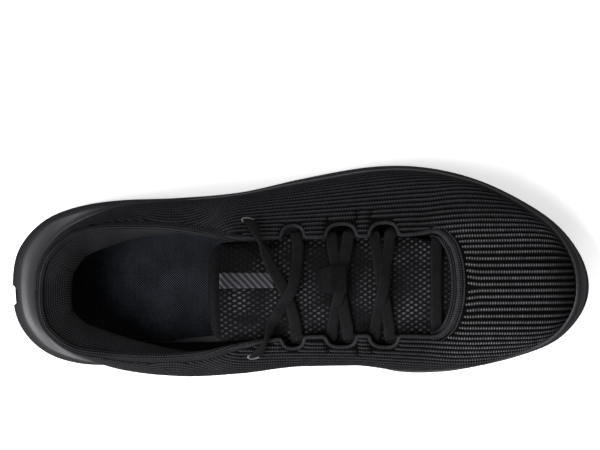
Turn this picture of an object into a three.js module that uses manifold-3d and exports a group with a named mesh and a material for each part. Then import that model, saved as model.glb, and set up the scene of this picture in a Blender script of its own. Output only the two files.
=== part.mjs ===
// Running shoe, left foot, in millimetres: +Z is up, +X points to the toe and +Y to the lateral side.
// The origin is on the ground under the middle of the sole's outline.
//
// Most pieces are laid out on two closed loops that share one parameter q. It runs from the heel (0)
// along the lateral side to the toe (1) and back along the medial side to the heel (2). The station s
// is q on the lateral side and 2 - q on the medial side.
import * as THREE from "three";
import { mergeVertices } from "three/addons/utils/BufferGeometryUtils.js";
import Module from "manifold-3d";

const wasm = await Module();
wasm.setup();

// ---------- driving dimensions ----------
const SHOE_LENGTH = 300; // outline of the sole, heel to toe
const SHOE_WIDTH = 108.2; // outline of the sole across the ball
const UPPER_HEIGHT = 92; // top of the heel collar above the ground
const DESIGN = { length: 300, width: 108.2, height: 92 }; // the sizes that the tables below are drawn at

const OUTSOLE_THICKNESS = 2.7;
const TOE_SPRING = 13; // how far the sole rises from the ball to the tip
const HEEL_BEVEL = 6; // how far it rises at the back of the heel
const STACK_HEEL = 26; // foam floor of the cup above the ground at the heel
const STACK_FOREFOOT = 17; // and at the ball
const RIM_WALL = 2.2; // foam lip round the upper

const KNIT = 1.6; // thickness of the knitted shell
const LINING = 1.0;
const COUNTER = 1.5;
const COLLAR_FOAM = 14; // padding at the back of the heel; it thins out towards the throat
const TOE_PUFF = 0.8;
const STROBEL = 1.2;
const INSOLE = 4.2;
const INSOLE_CUP = 5; // how far the insole's edge rises round the heel
const TONGUE_COVER = 1.0;
const TONGUE_FOAM = 4.5;

const LABEL = 0.6; // thickness of the label and of the lace keeper

const LACE_WIDTH = 5.6;
const LACE_THICKNESS = 1.6;
const AGLET_LENGTH = 18;
const AGLET_RADIUS = 1.6;

const GAP = 0.3; // glued or stitched faces
const SHELL_GAP = 0.6; // between the curved layers of the upper
const CUP_GAP = 0.6; // between the upper and the foam cup
const LOOSE = 0.4; // faces that only lie on each other
const LACE_ROOM = 0.8; // above and below the lace under the tabs
const HINGE_GAP = 0.6; // between the two halves of the tongue, where it bends

const LENGTH_SCALE = SHOE_LENGTH / DESIGN.length;
const WIDTH_SCALE = SHOE_WIDTH / DESIGN.width;
const HEIGHT_SCALE = UPPER_HEIGHT / DESIGN.height;

// ---------- colours ----------
const finish = (color, roughness) => new THREE.MeshStandardMaterial({ color, roughness, metalness: 0 });
const KNIT_BLACK = finish(0x17171a, 0.95);
const FOAM_BLACK = finish(0x2c2c2f, 0.7);
const RUBBER_BLACK = finish(0x141414, 0.8);
const LINING_BLACK = finish(0x101012, 0.95);
const INSOLE_GREY = finish(0x20252b, 0.95);
const LACE_BLACK = finish(0x141415, 0.9);
const PLASTIC_BLACK = finish(0x1b1b1b, 0.4);
const BOARD_GREY = finish(0x55565a, 0.9);

// ---------- smooth curves through tables ----------
function hermite(x, [x0, y0], [x1, y1], m0, m1) {
  const h = x1 - x0;
  const t = (x - x0) / h;
  const a = (1 + 2 * t) * (1 - t) ** 2 * y0 + t * (1 - t) ** 2 * h * m0;
  return a + t * t * (3 - 2 * t) * y1 + t * t * (t - 1) * h * m1;
}

/** Closed curve through rows of [station, lateral value, medial value], from heel to toe. */
function around(rows) {
  const back = rows.slice(1, -1).reverse();
  const lateralSide = rows.map(([s, lateral]) => [s, lateral]);
  const knots = [...lateralSide, ...back.map(([s, , medial]) => [2 - s, medial])];
  const n = knots.length;
  const knot = (i) => {
    const lap = Math.floor(i / n);
    return [knots[i - lap * n][0] + 2 * lap, knots[i - lap * n][1]];
  };
  const slope = (i) => (knot(i + 1)[1] - knot(i - 1)[1]) / (knot(i + 1)[0] - knot(i - 1)[0]);
  return (q) => {
    const w = ((q % 2) + 2) % 2;
    let i = 0;
    while (i < n - 1 && knots[i + 1][0] <= w) i++;
    return hermite(w, knot(i), knot(i + 1), slope(i), slope(i + 1));
  };
}

/** Open curve through rows of [x, value], straight on past its ends. */
function along(rows) {
  const last = rows.length - 1;
  const slope = (i) => {
    const a = rows[Math.max(i - 1, 0)];
    const b = rows[Math.min(i + 1, last)];
    return (b[1] - a[1]) / (b[0] - a[0]);
  };
  return (x) => {
    if (x <= rows[0][0]) return rows[0][1] + slope(0) * (x - rows[0][0]);
    if (x >= rows[last][0]) return rows[last][1] + slope(last) * (x - rows[last][0]);
    let i = 0;
    while (rows[i + 1][0] < x) i++;
    return hermite(x, rows[i], rows[i + 1], slope(i), slope(i + 1));
  };
}

const mix = (a, b, t) => a + (b - a) * t;
const clamp01 = (t) => Math.min(1, Math.max(0, t));
const smoothstep = (t) => clamp01(t) ** 2 * (3 - 2 * clamp01(t));
const stationOf = (q) => (q <= 1 ? q : 2 - q);
const vec = (x, y, z) => new THREE.Vector3(x, y, z);

// ---------- the sole's outline and heights ----------
const FOOT_AXIS = -8.7 * WIDTH_SCALE; // the line through the heel and the toe tip

const outlineY = around([
  [0, -8.7, -8.7],
  [0.04, 4.2, -21.8],
  [0.085, 14, -32],
  [0.156, 26.3, -44],
  [0.223, 33, -49.7],
  [0.285, 36.0, -50.2],
  [0.36, 37.2, -48.3],
  [0.434, 40.2, -43.6],
  [0.5, 47, -40],
  [0.566, 52.7, -45.4],
  [0.613, 54.1, -52.9],
  [0.662, 52, -53.9],
  [0.715, 46.3, -50.6],
  [0.777, 36.4, -45.2],
  [0.848, 23.7, -37.2],
  [0.924, 7.4, -23.6],
  [1, -8.7, -8.7],
]);
const stationX = (q) => (-SHOE_LENGTH / 2) * Math.cos(Math.PI * stationOf(q));
const outline = (q) => new THREE.Vector2(stationX(q), outlineY(q) * WIDTH_SCALE);

/** Outward direction of a plan loop at q. */
function planNormal(loop, q) {
  const d = loop(q + 1e-3).sub(loop(q - 1e-3));
  return new THREE.Vector2(-d.y, d.x).normalize();
}

const BALL_X = 42 * LENGTH_SCALE; // the sole starts to rise in front of this
const BEVEL_X = -112 * LENGTH_SCALE; // and behind this
/** Lowest surface of the shoe. */
function groundZ(x) {
  const toe = clamp01((x - BALL_X) / (SHOE_LENGTH / 2 - BALL_X));
  const heel = clamp01((BEVEL_X - x) / (BEVEL_X + SHOE_LENGTH / 2));
  return TOE_SPRING * toe ** 2 + HEEL_BEVEL * heel ** 2;
}
const foamBottomZ = (x) => groundZ(x) + OUTSOLE_THICKNESS + GAP;

const floorStack = along([
  [-150, STACK_HEEL],
  [-70, STACK_HEEL],
  [20, mix(STACK_HEEL, STACK_FOREFOOT, 0.8)],
  [60, STACK_FOREFOOT],
  [150, STACK_FOREFOOT],
]);
/** Floor of the foam cup, where the upper's board lies. */
function floorZ(x) {
  const toe = clamp01((x - BALL_X) / (SHOE_LENGTH / 2 - BALL_X));
  return floorStack(x / LENGTH_SCALE) + 0.72 * TOE_SPRING * toe ** 2;
}

// ---------- the upper's outer surface ----------
const featherInset = around([
  [0, 16.6, 16.6],
  [0.04, 17.4, 16.9],
  [0.085, 17.6, 16.6],
  [0.156, 15.6, 15],
  [0.223, 12.2, 11.8],
  [0.285, 9, 9.3],
  [0.36, 6.3, 7],
  [0.434, 5.5, 5.5],
  [0.55, 6.5, 5.5],
  [0.662, 6.8, 6],
  [0.8, 6.4, 5.6],
  [1, 8.2, 8.2],
]);
const featherXY = (q) => outline(q).sub(planNormal(outline, q).multiplyScalar(featherInset(q)));

/** Height of the instep along the foot's axis, and how fast it falls away to the sides. */
const ridgeZ = along([
  [-50, 113],
  [-38, 106],
  [-28, 99.5],
  [0, 88.5],
  [40, 74.5],
  [79, 61.5],
  [95, 57.5],
]);
const instepCurve = along([
  [-40, 0.0185],
  [0, 0.0165],
  [40, 0.013],
  [80, 0.0095],
]);
function instepZ(x, y) {
  const u = x / LENGTH_SCALE;
  return (ridgeZ(u) - instepCurve(u) * ((y - FOOT_AXIS) / WIDTH_SCALE) ** 2) * HEIGHT_SCALE;
}
function instepNormal(x, y) {
  const dx = (instepZ(x + 0.5, y) - instepZ(x - 0.5, y)) / 1;
  const dy = (instepZ(x, y + 0.5) - instepZ(x, y - 0.5)) / 1;
  return vec(-dx, -dy, 1).normalize();
}

// Topline of the collar, then the edge of the throat.
const toplineX = around([
  [0, -130, -130],
  [0.04, -129, -129.4],
  [0.085, -125, -125.4],
  [0.156, -113.6, -113.6],
  [0.223, -98, -98],
  [0.285, -82, -82],
  [0.338, -66, -66],
  [0.387, -50, -50],
  [0.434, -34, -33],
  [0.5, -8, -8],
  [0.566, 20, 20],
  [0.613, 40, 40],
  [0.662, 57, 57],
  [0.715, 69, 69],
  [0.777, 75.5, 75],
  [0.848, 78.6, 78],
  [0.924, 80, 79.8],
  [1, 80.3, 80.3],
]);
const toplineY = around([
  [0, -9.5, -9.5],
  [0.04, 0, -20.4],
  [0.085, 9, -30],
  [0.156, 18.8, -39.2],
  [0.223, 22.4, -42.4],
  [0.285, 23, -44],
  [0.338, 22.3, -44.2],
  [0.387, 20, -42.6],
  [0.434, 16.8, -38.2],
  [0.5, 16.6, -33.8],
  [0.566, 17, -33],
  [0.613, 17.4, -33],
  [0.662, 18, -33.4],
  [0.715, 19.5, -33.6],
  [0.777, 14.5, -29.5],
  [0.848, 7.6, -23.5],
  [0.924, -0.6, -16],
  [1, -8.7, -8.7],
]);
const collarZ = around([
  [0, 92, 92],
  [0.085, 91, 91],
  [0.156, 85.5, 85.5],
  [0.223, 79, 79],
  [0.285, 74.5, 74.5],
  [0.338, 73.5, 73.5],
  [0.387, 77, 77],
  [0.434, 85, 83],
  [0.5, 84, 84],
  [1, 84, 84],
]);
const COLLAR_END = 0.434; // station where the collar meets the throat
const toplineXY = (q) => new THREE.Vector2(toplineX(q) * LENGTH_SCALE, toplineY(q) * WIDTH_SCALE);
function topline(q) {
  const { x, y } = toplineXY(q);
  const onCollar = 1 - smoothstep((stationOf(q) - COLLAR_END + 0.05) / 0.06);
  return vec(x, y, mix(instepZ(x, y), collarZ(q) * HEIGHT_SCALE, onCollar));
}
function feather(q) {
  const { x, y } = featherXY(q);
  return vec(x, y, floorZ(x) + GAP);
}

// How the wall leaves the feather line and how it arrives at the topline.
const flare = around([
  [0, 2, 2],
  [0.085, 3, 3],
  [0.156, 4.5, 4],
  [0.285, 8, 10],
  [0.434, 8, 21.5],
  [0.52, 7, 22],
  [0.613, 9, 10],
  [0.715, 9, 8],
  [0.86, 6, 6],
  [1, 5, 5],
]);
const rise = around([
  [0, 26, 26],
  [0.285, 24, 24],
  [0.5, 24, 26],
  [0.715, 22, 22],
  [1, 17, 17],
]);
const reach = around([
  [0, 4, 4],
  [0.085, 3.5, 3],
  [0.156, 4.5, 3.5],
  [0.223, 6.5, 6.5],
  [0.285, 10, 11],
  [0.387, 12, 13],
  [0.46, 18, 15],
  [0.613, 24, 13],
  [0.715, 24, 16],
  [0.86, 30, 28],
  [1, 36, 36],
]);
const drop = around([
  [0, 24, 24],
  [0.285, 20, 20],
  [0.387, 18, 18],
  [0.46, 15, 13],
  [0.613, 12, 9],
  [0.715, 8.5, 8],
  [0.86, 7, 7],
  [1, 8, 8],
]);

function upperPoint(q, v) {
  const foot = feather(q);
  const top = topline(q);
  const out = planNormal(featherXY, q).multiplyScalar(flare(q) * WIDTH_SCALE);
  const over = planNormal(toplineXY, q).multiplyScalar(reach(q) * WIDTH_SCALE);
  const low = vec(foot.x + out.x, foot.y + out.y, foot.z + rise(q) * HEIGHT_SCALE);
  const high = vec(top.x + over.x, top.y + over.y, top.z - drop(q) * HEIGHT_SCALE);
  return new THREE.CubicBezierCurve3(foot, low, high, top).getPoint(v);
}
function upperNormal(q, v) {
  const e = 2e-3;
  const v0 = Math.max(v - e, 0);
  const dq = upperPoint(q + e, v).sub(upperPoint(q - e, v));
  const dv = upperPoint(q, Math.min(v0 + 2 * e, 1)).sub(upperPoint(q, v0));
  return dv.cross(dq).normalize();
}
/** A point at a distance from the knit's outer face: positive is outside. */
const offUpper = (q, v, distance) => upperPoint(q, v).addScaledVector(upperNormal(q, v), distance);

/** The v at which the upper is at height z. */
function heightToV(q, z) {
  let low = 0;
  let high = 1;
  for (let i = 0; i < 24; i++) {
    const v = (low + high) / 2;
    if (upperPoint(q, v).z < z) low = v;
    else high = v;
  }
  return (low + high) / 2;
}

// ---------- solids from grids ----------
function signedVolume(points, faces) {
  let sum = 0;
  for (const [a, b, c] of faces) sum += points[a].dot(points[b].clone().cross(points[c]));
  return sum / 6;
}

/** A closed geometry from points and triangles, with its faces turned outwards. */
function closedGeometry(points, faces) {
  const out = signedVolume(points, faces) > 0;
  const geometry = new THREE.BufferGeometry();
  geometry.setAttribute("position", new THREE.Float32BufferAttribute(points.flatMap((p) => p.toArray()), 3));
  geometry.setIndex(faces.flatMap(([a, b, c]) => (out ? [a, b, c] : [a, c, b])));
  const merged = mergeVertices(geometry, 1e-3);
  const index = merged.index.array;
  const kept = [];
  for (let i = 0; i < index.length; i += 3) {
    const [a, b, c] = index.slice(i, i + 3);
    if (a !== b && b !== c && a !== c) kept.push(a, b, c);
  }
  merged.setIndex(kept);
  return merged;
}

/** A slab between two grids of points over u and v from 0 to 1; closed joins u = 1 to u = 0. */
function slab(nu, nv, outer, inner, closed = false) {
  const columns = closed ? nu : nu + 1;
  const points = [];
  for (const side of [outer, inner])
    for (let i = 0; i < columns; i++) for (let j = 0; j <= nv; j++) points.push(side(i / nu, j / nv));
  const at = (side, i, j) => (side * columns + (i % columns)) * (nv + 1) + j;
  const faces = [];
  const quad = (a, b, c, d) => faces.push([a, b, c], [a, c, d]);
  for (let i = 0; i < nu; i++) {
    for (let j = 0; j < nv; j++) {
      quad(at(0, i, j), at(0, i + 1, j), at(0, i + 1, j + 1), at(0, i, j + 1));
      quad(at(1, i, j), at(1, i, j + 1), at(1, i + 1, j + 1), at(1, i + 1, j));
    }
    quad(at(0, i, 0), at(1, i, 0), at(1, i + 1, 0), at(0, i + 1, 0));
    quad(at(0, i, nv), at(0, i + 1, nv), at(1, i + 1, nv), at(1, i, nv));
  }
  if (!closed)
    for (let j = 0; j < nv; j++) {
      quad(at(0, 0, j), at(0, 0, j + 1), at(1, 0, j + 1), at(1, 0, j));
      quad(at(0, nu, j), at(1, nu, j), at(1, nu, j + 1), at(0, nu, j + 1));
    }
  return closedGeometry(points, faces);
}

const SPINE = 0.82; // the folded first and last rings of a plate reach this far to heel and toe
/** A solid from rings of points round the shoe. Its first and last rings are folded onto the foot's axis. */
function ringSolid(samples, rings) {
  const points = rings.flatMap((ring) => Array.from({ length: samples }, (_, i) => ring((2 * i) / samples)));
  const at = (r, i) => r * samples + (i % samples);
  const faces = [];
  for (let r = 0; r < rings.length - 1; r++)
    for (let i = 0; i < samples; i++)
      faces.push([at(r, i), at(r, i + 1), at(r + 1, i + 1)], [at(r, i), at(r + 1, i + 1), at(r + 1, i)]);
  return closedGeometry(points, faces);
}
/** A ring part of the way from the foot's axis to a plan loop, at a height that depends on x and q. */
const ringAt = (loop, share, height) => (q) => {
  const edge = loop(q);
  const x = mix(stationX(q) * SPINE, edge.x, share);
  return vec(x, mix(FOOT_AXIS, edge.y, share), height(x, q));
};

function toManifold(geometry) {
  const vertProperties = geometry.attributes.position.array;
  const triVerts = new Uint32Array(geometry.index.array);
  return new wasm.Manifold(new wasm.Mesh({ numProp: 3, vertProperties, triVerts }));
}
function fromManifold(solid) {
  const { vertProperties, triVerts } = solid.getMesh();
  const geometry = new THREE.BufferGeometry();
  geometry.setAttribute("position", new THREE.Float32BufferAttribute(vertProperties, 3));
  return geometry.setIndex(new THREE.Uint32BufferAttribute(triVerts, 1));
}
/** Cuts tools from a geometry. Each tool is a closed geometry. */
function cut(geometry, tools) {
  let solid = toManifold(geometry);
  for (const tool of tools) {
    const bare = tool.clone().deleteAttribute("normal").deleteAttribute("uv");
    solid = solid.subtract(toManifold(mergeVertices(bare, 1e-4)));
  }
  return fromManifold(solid);
}

const shoe = new THREE.Group();
function add(name, geometry, material) {
  const mesh = new THREE.Mesh(geometry, material);
  mesh.name = name;
  shoe.add(mesh);
  return mesh;
}

// ---------- foam midsole ----------
const rimZ = around([
  [0, 41, 41],
  [0.156, 39.5, 39.5],
  [0.3, 35, 36],
  [0.434, 32, 34],
  [0.566, 28.5, 30],
  [0.662, 27.5, 27.5],
  [0.777, 28.5, 28],
  [0.87, 31, 31],
  [1, 34.5, 34.5],
]);
const ledgeDrop = around([
  [0, 7, 7],
  [0.223, 5, 5],
  [0.434, 3, 3],
  [0.715, 3, 2.6],
  [1, 3.4, 3.4],
]);
const ledgeInset = around([
  [0, 6, 6],
  [0.156, 4.6, 5],
  [0.285, 2.4, 1],
  [0.434, 0.6, -1.8],
  [0.52, 0.8, -1.4],
  [0.613, 1.4, 0.6],
  [0.777, 1.4, 1.2],
  [1, 1.8, 1.8],
]);
const WAVE = { height: 1.3, inset: 0.8, pitch: 0.052, from: 0.47, to: 0.86 };
/** The foam's side line rises and falls along the forefoot: -1 to 1, and 0 elsewhere. */
function wave(q) {
  const s = stationOf(q);
  const fade = smoothstep((s - WAVE.from) / 0.06) * smoothstep((WAVE.to - s) / 0.06);
  return fade * Math.sin((2 * Math.PI * (s - WAVE.from)) / WAVE.pitch);
}
const FOAM_EDGE = 4.5; // how far the underside's edge lies inside the outline
const WIDEST = 11; // height of the widest line above the foam's underside
const NOTCH = { radius: 5.2, depth: 3.6, y: -13.6 * WIDTH_SCALE, top: 29 }; // groove up the back of the heel

const BUMPER = { span: 0.075, thickness: 1.4, from: 0.3, to: 0.95 }; // rubber let into the tip of the foam
/** A band round the toe tip between two depths in the foam's face, larger by room at its edges. */
function toeBand(outer, inner, room) {
  const span = BUMPER.span + room / SHOE_LENGTH;
  const side = (distance) => (u, v) => {
    const q = 1 - span + 2 * span * u;
    const { x, y } = outline(q);
    const n = planNormal(outline, q);
    const level = foamBottomZ(stationX(q));
    const low = level + BUMPER.from * WIDEST - room;
    const z = mix(low, level + BUMPER.to * WIDEST + room, v);
    const d = distance - 1.6 * clamp01(1 - (z - low) / (0.6 * WIDEST));
    return vec(x + n.x * d, y + n.y * d, z);
  };
  return slab(12, 3, side(outer), side(inner));
}

function makeMidsole() {
  const rimV = (q) => heightToV(q, rimZ(q));
  const beside = (inset) => (q) => outline(q).sub(planNormal(outline, q).multiplyScalar(inset));
  const at = ({ x, y }, z) => vec(x, y, z);
  const ledgeZ = (q) => rimZ(q) - ledgeDrop(q);
  const onFloor = (p) => p.setZ(floorZ(p.x));
  const rings = [
    ringAt(beside(FOAM_EDGE), 0, foamBottomZ),
    ringAt(beside(FOAM_EDGE), 0.6, foamBottomZ),
    ringAt(beside(FOAM_EDGE), 1, foamBottomZ),
    (q) => at(beside(1.2)(q), foamBottomZ(stationX(q)) + 0.35 * WIDEST),
    (q) => at(outline(q), foamBottomZ(stationX(q)) + WIDEST),
    (q) => at(beside(ledgeInset(q) + WAVE.inset * wave(q))(q), ledgeZ(q) + WAVE.height * wave(q)),
    (q) => offUpper(q, rimV(q), CUP_GAP + RIM_WALL).setZ(rimZ(q) - 0.6),
    (q) => offUpper(q, rimV(q), CUP_GAP),
    (q) => offUpper(q, 0.5 * rimV(q), CUP_GAP),
    (q) => offUpper(q, 0.2 * rimV(q), CUP_GAP),
    (q) => onFloor(offUpper(q, 0, CUP_GAP)),
    ringAt(featherXY, 0.55, floorZ),
    ringAt(featherXY, 0, floorZ),
  ];
  const groove = new THREE.CylinderGeometry(NOTCH.radius, NOTCH.radius, NOTCH.top, 20).rotateX(Math.PI / 2);
  const grooveX = -SHOE_LENGTH / 2 - NOTCH.radius + NOTCH.depth;
  groove.translate(grooveX, NOTCH.y, NOTCH.top / 2);
  return cut(ringSolid(88, rings), [groove, toeBand(4, -BUMPER.thickness - GAP, GAP)]);
}
add("midsole", makeMidsole(), FOAM_BLACK);
add("toe_bumper", toeBand(0, -BUMPER.thickness, 0), RUBBER_BLACK);

// ---------- rubber outsole pads ----------
const PAD_INSET = 6.5; // inside the outline
const PAD_GROOVE = 5; // between two pads, across the shoe
/** A pad between two x positions and between two shares of the width (-1 medial edge, 1 lateral edge). */
function makePad(x0, x1, t0, t1) {
  const yAt = (x, t) => {
    const s = Math.acos(THREE.MathUtils.clamp(-x / (SHOE_LENGTH / 2), -1, 1)) / Math.PI;
    const lateral = outline(s).y - PAD_INSET;
    const medial = outline(2 - s).y + PAD_INSET;
    const middle = (lateral + medial) / 2;
    return middle + (t * (lateral - medial)) / 2;
  };
  const point = (lift) => (u, v) => {
    const x = mix(x0, x1, u);
    return vec(x, yAt(x, mix(t0, t1, v)), groundZ(x) + lift);
  };
  return slab(6, 2, point(OUTSOLE_THICKNESS), point(0));
}
const PADS = {
  outsole_heel: { from: -136, to: -92, split: 0.16 },
  outsole_rearfoot: { from: -87, to: -54, split: 0.42 },
  outsole_ball: { from: 16, to: 44, split: 0.08 },
  outsole_metatarsal: { from: 49, to: 75, split: 0.08 },
  outsole_forefoot: { from: 80, to: 104, split: 0.08 },
};
for (const [name, { from, to, split }] of Object.entries(PADS)) {
  const [x0, x1] = [from * LENGTH_SCALE, to * LENGTH_SCALE];
  add(name + "_lateral", makePad(x0, x1, split, 1), RUBBER_BLACK);
  add(name + "_medial", makePad(x0, x1, -1, -split), RUBBER_BLACK);
}
add("outsole_toe", makePad((104 + PAD_GROOVE) * LENGTH_SCALE, 138 * LENGTH_SCALE, -1, 1), RUBBER_BLACK);

// ---------- bottom of the upper: board and insole ----------
const insideFeather = (inset) => (q) => featherXY(q).sub(planNormal(featherXY, q).multiplyScalar(inset));
function makePlate(samples, inset, low, high) {
  const loop = insideFeather(inset);
  const under = [0, 0.6, 1].map((share) => ringAt(loop, share, low));
  const over = [1, 0.85, 0.5, 0].map((share) => ringAt(loop, share, high(share)));
  return ringSolid(samples, [...under, ...over]);
}
const boardLow = (x) => floorZ(x) + GAP;
const boardHigh = (x) => boardLow(x) + STROBEL;
add("strobel_board", makePlate(64, KNIT + GAP, boardLow, () => boardHigh), BOARD_GREY);

const cupRise = (x) => INSOLE_CUP * (1 - smoothstep((x / LENGTH_SCALE + 120) / 90));
const insoleLow = (x) => boardHigh(x) + GAP;
const insoleHigh = (share) => (x) => insoleLow(x) + INSOLE + (share > 0.8 ? cupRise(x) : 0) * share ** 6;
add("insole", makePlate(64, KNIT + COUNTER + LINING + 3 * GAP + LOOSE, insoleLow, insoleHigh), INSOLE_GREY);

// ---------- inside of the upper: counter, collar foam, lining, toe puff ----------
const LINING_END = 0.4; // station where the padded lining stops
/** Thickness of what lies between the knit and the lining: the counter below, foam at the collar. */
const foamShare = around([
  [0, 1, 1],
  [0.1, 0.94, 0.92],
  [0.2, 0.78, 0.82],
  [0.3, 0.6, 0.7],
  [0.4, 0.25, 0.3],
  [1, 0.2, 0.2],
]);
const padding = (v) => Math.sin(Math.PI * clamp01((v - 0.58) / 0.42)) ** 0.8;
const stuffing = (q, v) => COUNTER + Math.max(0, COLLAR_FOAM * foamShare(q) - COUNTER) * padding(v);
/** A shell under the knit round the heel, from one side's station to the other's. */
function heelShell(end, nu, nv, bottom, top, near, far) {
  const face = (depth) => (u, t) => {
    const q = mix(-end, end, u);
    const v = mix(heightToV(q, bottom(q)), top, t);
    return offUpper(q, v, -depth(q, v));
  };
  return slab(nu, nv, face(near), face(far));
}
const boardClear = (q) => boardHigh(feather(q).x) + GAP;
const counterDepth = () => KNIT + SHELL_GAP;
const liningDepth = (q, v) => KNIT + 2 * SHELL_GAP + stuffing(q, v);
const counterFar = () => KNIT + SHELL_GAP + COUNTER;
add("heel_counter", heelShell(0.2, 20, 4, boardClear, 0.56, counterDepth, counterFar), BOARD_GREY);
const foamFrom = (q) => upperPoint(q, 0.6).z;
const foamDepth = (q, v) => KNIT + SHELL_GAP + stuffing(q, v);
add("collar_foam", heelShell(0.37, 36, 4, foamFrom, 0.95, counterDepth, foamDepth), LINING_BLACK);
const liningFar = (q, v) => liningDepth(q, v) + LINING;
add("heel_lining", heelShell(LINING_END, 40, 10, boardClear, 0.975, liningDepth, liningFar), LINING_BLACK);

function makeToePuff() {
  const face = (depth) => (u, t) => offUpper(mix(0.86, 1.14, u), mix(0.12, 0.5, t), -depth);
  return slab(18, 4, face(KNIT + SHELL_GAP), face(KNIT + SHELL_GAP + TOE_PUFF));
}
add("toe_puff", makeToePuff(), BOARD_GREY);

// ---------- the surface that spans the throat ----------
/** The loop parameter of the topline's nearest point in plan. */
const toplineSamples = Array.from({ length: 240 }, (_, i) => ({ q: i / 120, at: toplineXY(i / 120) }));
function nearestTopline(x, y) {
  const here = new THREE.Vector2(x, y);
  return toplineSamples.reduce((a, b) => (b.at.distanceTo(here) < a.at.distanceTo(here) ? b : a)).q;
}
/** Loop parameter and v of the upper's point over (x, y), or null inside the collar and the throat. */
function locate(x, y) {
  let q = nearestTopline(x, y);
  const away = new THREE.Vector2(x, y).sub(toplineXY(q));
  const outside = away.dot(planNormal(toplineXY, q));
  if (outside <= 0) return null;
  let v = 1 - Math.min(outside / 60, 0.4);
  for (let i = 0; i < 8; i++) {
    const e = 1e-4;
    const p = upperPoint(q, v);
    const dq = upperPoint(q + e, v).sub(upperPoint(q - e, v)).divideScalar(2 * e);
    const dv = upperPoint(q, v + e).sub(upperPoint(q, v - e)).divideScalar(2 * e);
    const det = dq.x * dv.y - dq.y * dv.x;
    q += ((x - p.x) * dv.y - (y - p.y) * dv.x) / det;
    v += ((y - p.y) * dq.x - (x - p.x) * dq.y) / det;
  }
  return { q, v };
}
function bridgeZ(x, y) {
  const found = locate(x, y);
  return found ? upperPoint(found.q, Math.min(found.v, 1)).z : instepZ(x, y);
}
const onBridge = (x, y, distance) => vec(x, y, bridgeZ(x, y)).addScaledVector(instepNormal(x, y), distance);

// ---------- knitted upper with its throat's scallops and eyelets ----------
// Positions of the lace's holes along the throat. Between them lie the tabs with their tunnels.
const HOLES = [
  { from: -9.4, to: 2.2 },
  { from: 13, to: 28.6 },
  { from: 35, to: 50 },
].map(({ from, to }) => ({ from: from * LENGTH_SCALE, to: to * LENGTH_SCALE }));
const BAR_X = 70 * LENGTH_SCALE; // the straight first run of the lace
const SCALLOP_DEPTH = 7.5;
const EYELET = {
  lateral: { x: -26 * LENGTH_SCALE, y: 24.6 * WIDTH_SCALE },
  medial: { x: -23 * LENGTH_SCALE, y: -42 * WIDTH_SCALE },
};
const SIDES = { lateral: 1, medial: -1 };

/** Edge of the throat on one side at x. */
function throatEdge(x, side) {
  let low = COLLAR_END - 0.06;
  let high = 0.72;
  for (let i = 0; i < 24; i++) {
    const s = (low + high) / 2;
    if (toplineXY(side > 0 ? s : 2 - s).x < x) low = s;
    else high = s;
  }
  return toplineXY(side > 0 ? low : 2 - low).y;
}

/** A cutter through the upper at a point with this normal, long in x and oval across. */
function ovalCutter(point, normal, halfLength, halfWidth) {
  const shape = new THREE.Shape().absellipse(0, 0, halfLength, halfWidth, 0, 2 * Math.PI);
  const tool = new THREE.ExtrudeGeometry(shape, { depth: 16, bevelEnabled: false, curveSegments: 10 });
  tool.translate(0, 0, -8);
  const turn = new THREE.Quaternion().setFromUnitVectors(vec(0, 0, 1), normal);
  return tool.applyQuaternion(turn).translate(...point.toArray());
}

const HOLE_ROOM = 0.9; // round the lace in an eyelet
function makeUpper() {
  const outer = (u, v) => upperPoint(2 * u, v);
  const inner = (u, v) => offUpper(2 * u, v, -KNIT);
  const scallops = HOLES.flatMap(({ from, to }) =>
    Object.values(SIDES).map((side) => {
      const x = (from + to) / 2;
      const y = throatEdge(x, side);
      return ovalCutter(vec(x, y, instepZ(x, y)), instepNormal(x, y), (to - from) / 2, SCALLOP_DEPTH);
    }),
  );
  const eyelets = Object.values(EYELET).map(({ x, y }) => {
    const { q, v } = locate(x, y);
    const [halfLength, halfWidth] = [LACE_WIDTH / 2 + HOLE_ROOM, LACE_THICKNESS / 2 + 2 * HOLE_ROOM];
    return ovalCutter(upperPoint(q, v), upperNormal(q, v), halfLength, halfWidth);
  });
  return cut(slab(88, 8, outer, inner, true), [...scallops, ...eyelets]);
}
add("upper_knit", makeUpper(), KNIT_BLACK);

// ---------- tongue ----------
const LACE_LEVEL = -(KNIT + LACE_ROOM + LACE_THICKNESS / 2); // middle of the lace under the tabs
const TONGUE_TOP = KNIT + 2 * LACE_ROOM + LACE_THICKNESS; // the tongue's face below the knit's outer face
const TONGUE_FROM = -41 * LENGTH_SCALE;
const TONGUE_TO = 86 * LENGTH_SCALE;
const TONGUE_BEND = -26.5 * LENGTH_SCALE;
const TONGUE_MIDDLE = -10 * WIDTH_SCALE;
const tongueHalf = along([
  [-41, 20],
  [-37, 24],
  [-26, 27.5],
  [0, 29],
  [60, 28],
  [86, 20],
]);
/** A layer of the tongue between two x positions. */
function tongueLayer(x0, x1, nx, near, thickness, inset) {
  const face = (depth) => (u, v) => {
    const x = mix(x0, x1, u);
    const y = TONGUE_MIDDLE + (2 * v - 1) * (tongueHalf(x / LENGTH_SCALE) * WIDTH_SCALE - inset);
    return onBridge(x, y, -depth);
  };
  return slab(nx, 8, face(near), face(near + thickness));
}
const bendFrom = TONGUE_BEND + HINGE_GAP / 2;
const bendTo = TONGUE_BEND - HINGE_GAP / 2;
const foamTop = TONGUE_TOP + TONGUE_COVER + SHELL_GAP;
const FOAM_INSET = 2;
add("tongue_cover", tongueLayer(bendFrom, TONGUE_TO, 18, TONGUE_TOP, TONGUE_COVER, 0), KNIT_BLACK);
add("tongue_foam", tongueLayer(bendFrom, TONGUE_TO - 8, 18, foamTop, TONGUE_FOAM, FOAM_INSET), LINING_BLACK);
add("tongue_cover_top", tongueLayer(TONGUE_FROM, bendTo, 4, TONGUE_TOP, TONGUE_COVER, 0), KNIT_BLACK);
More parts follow.
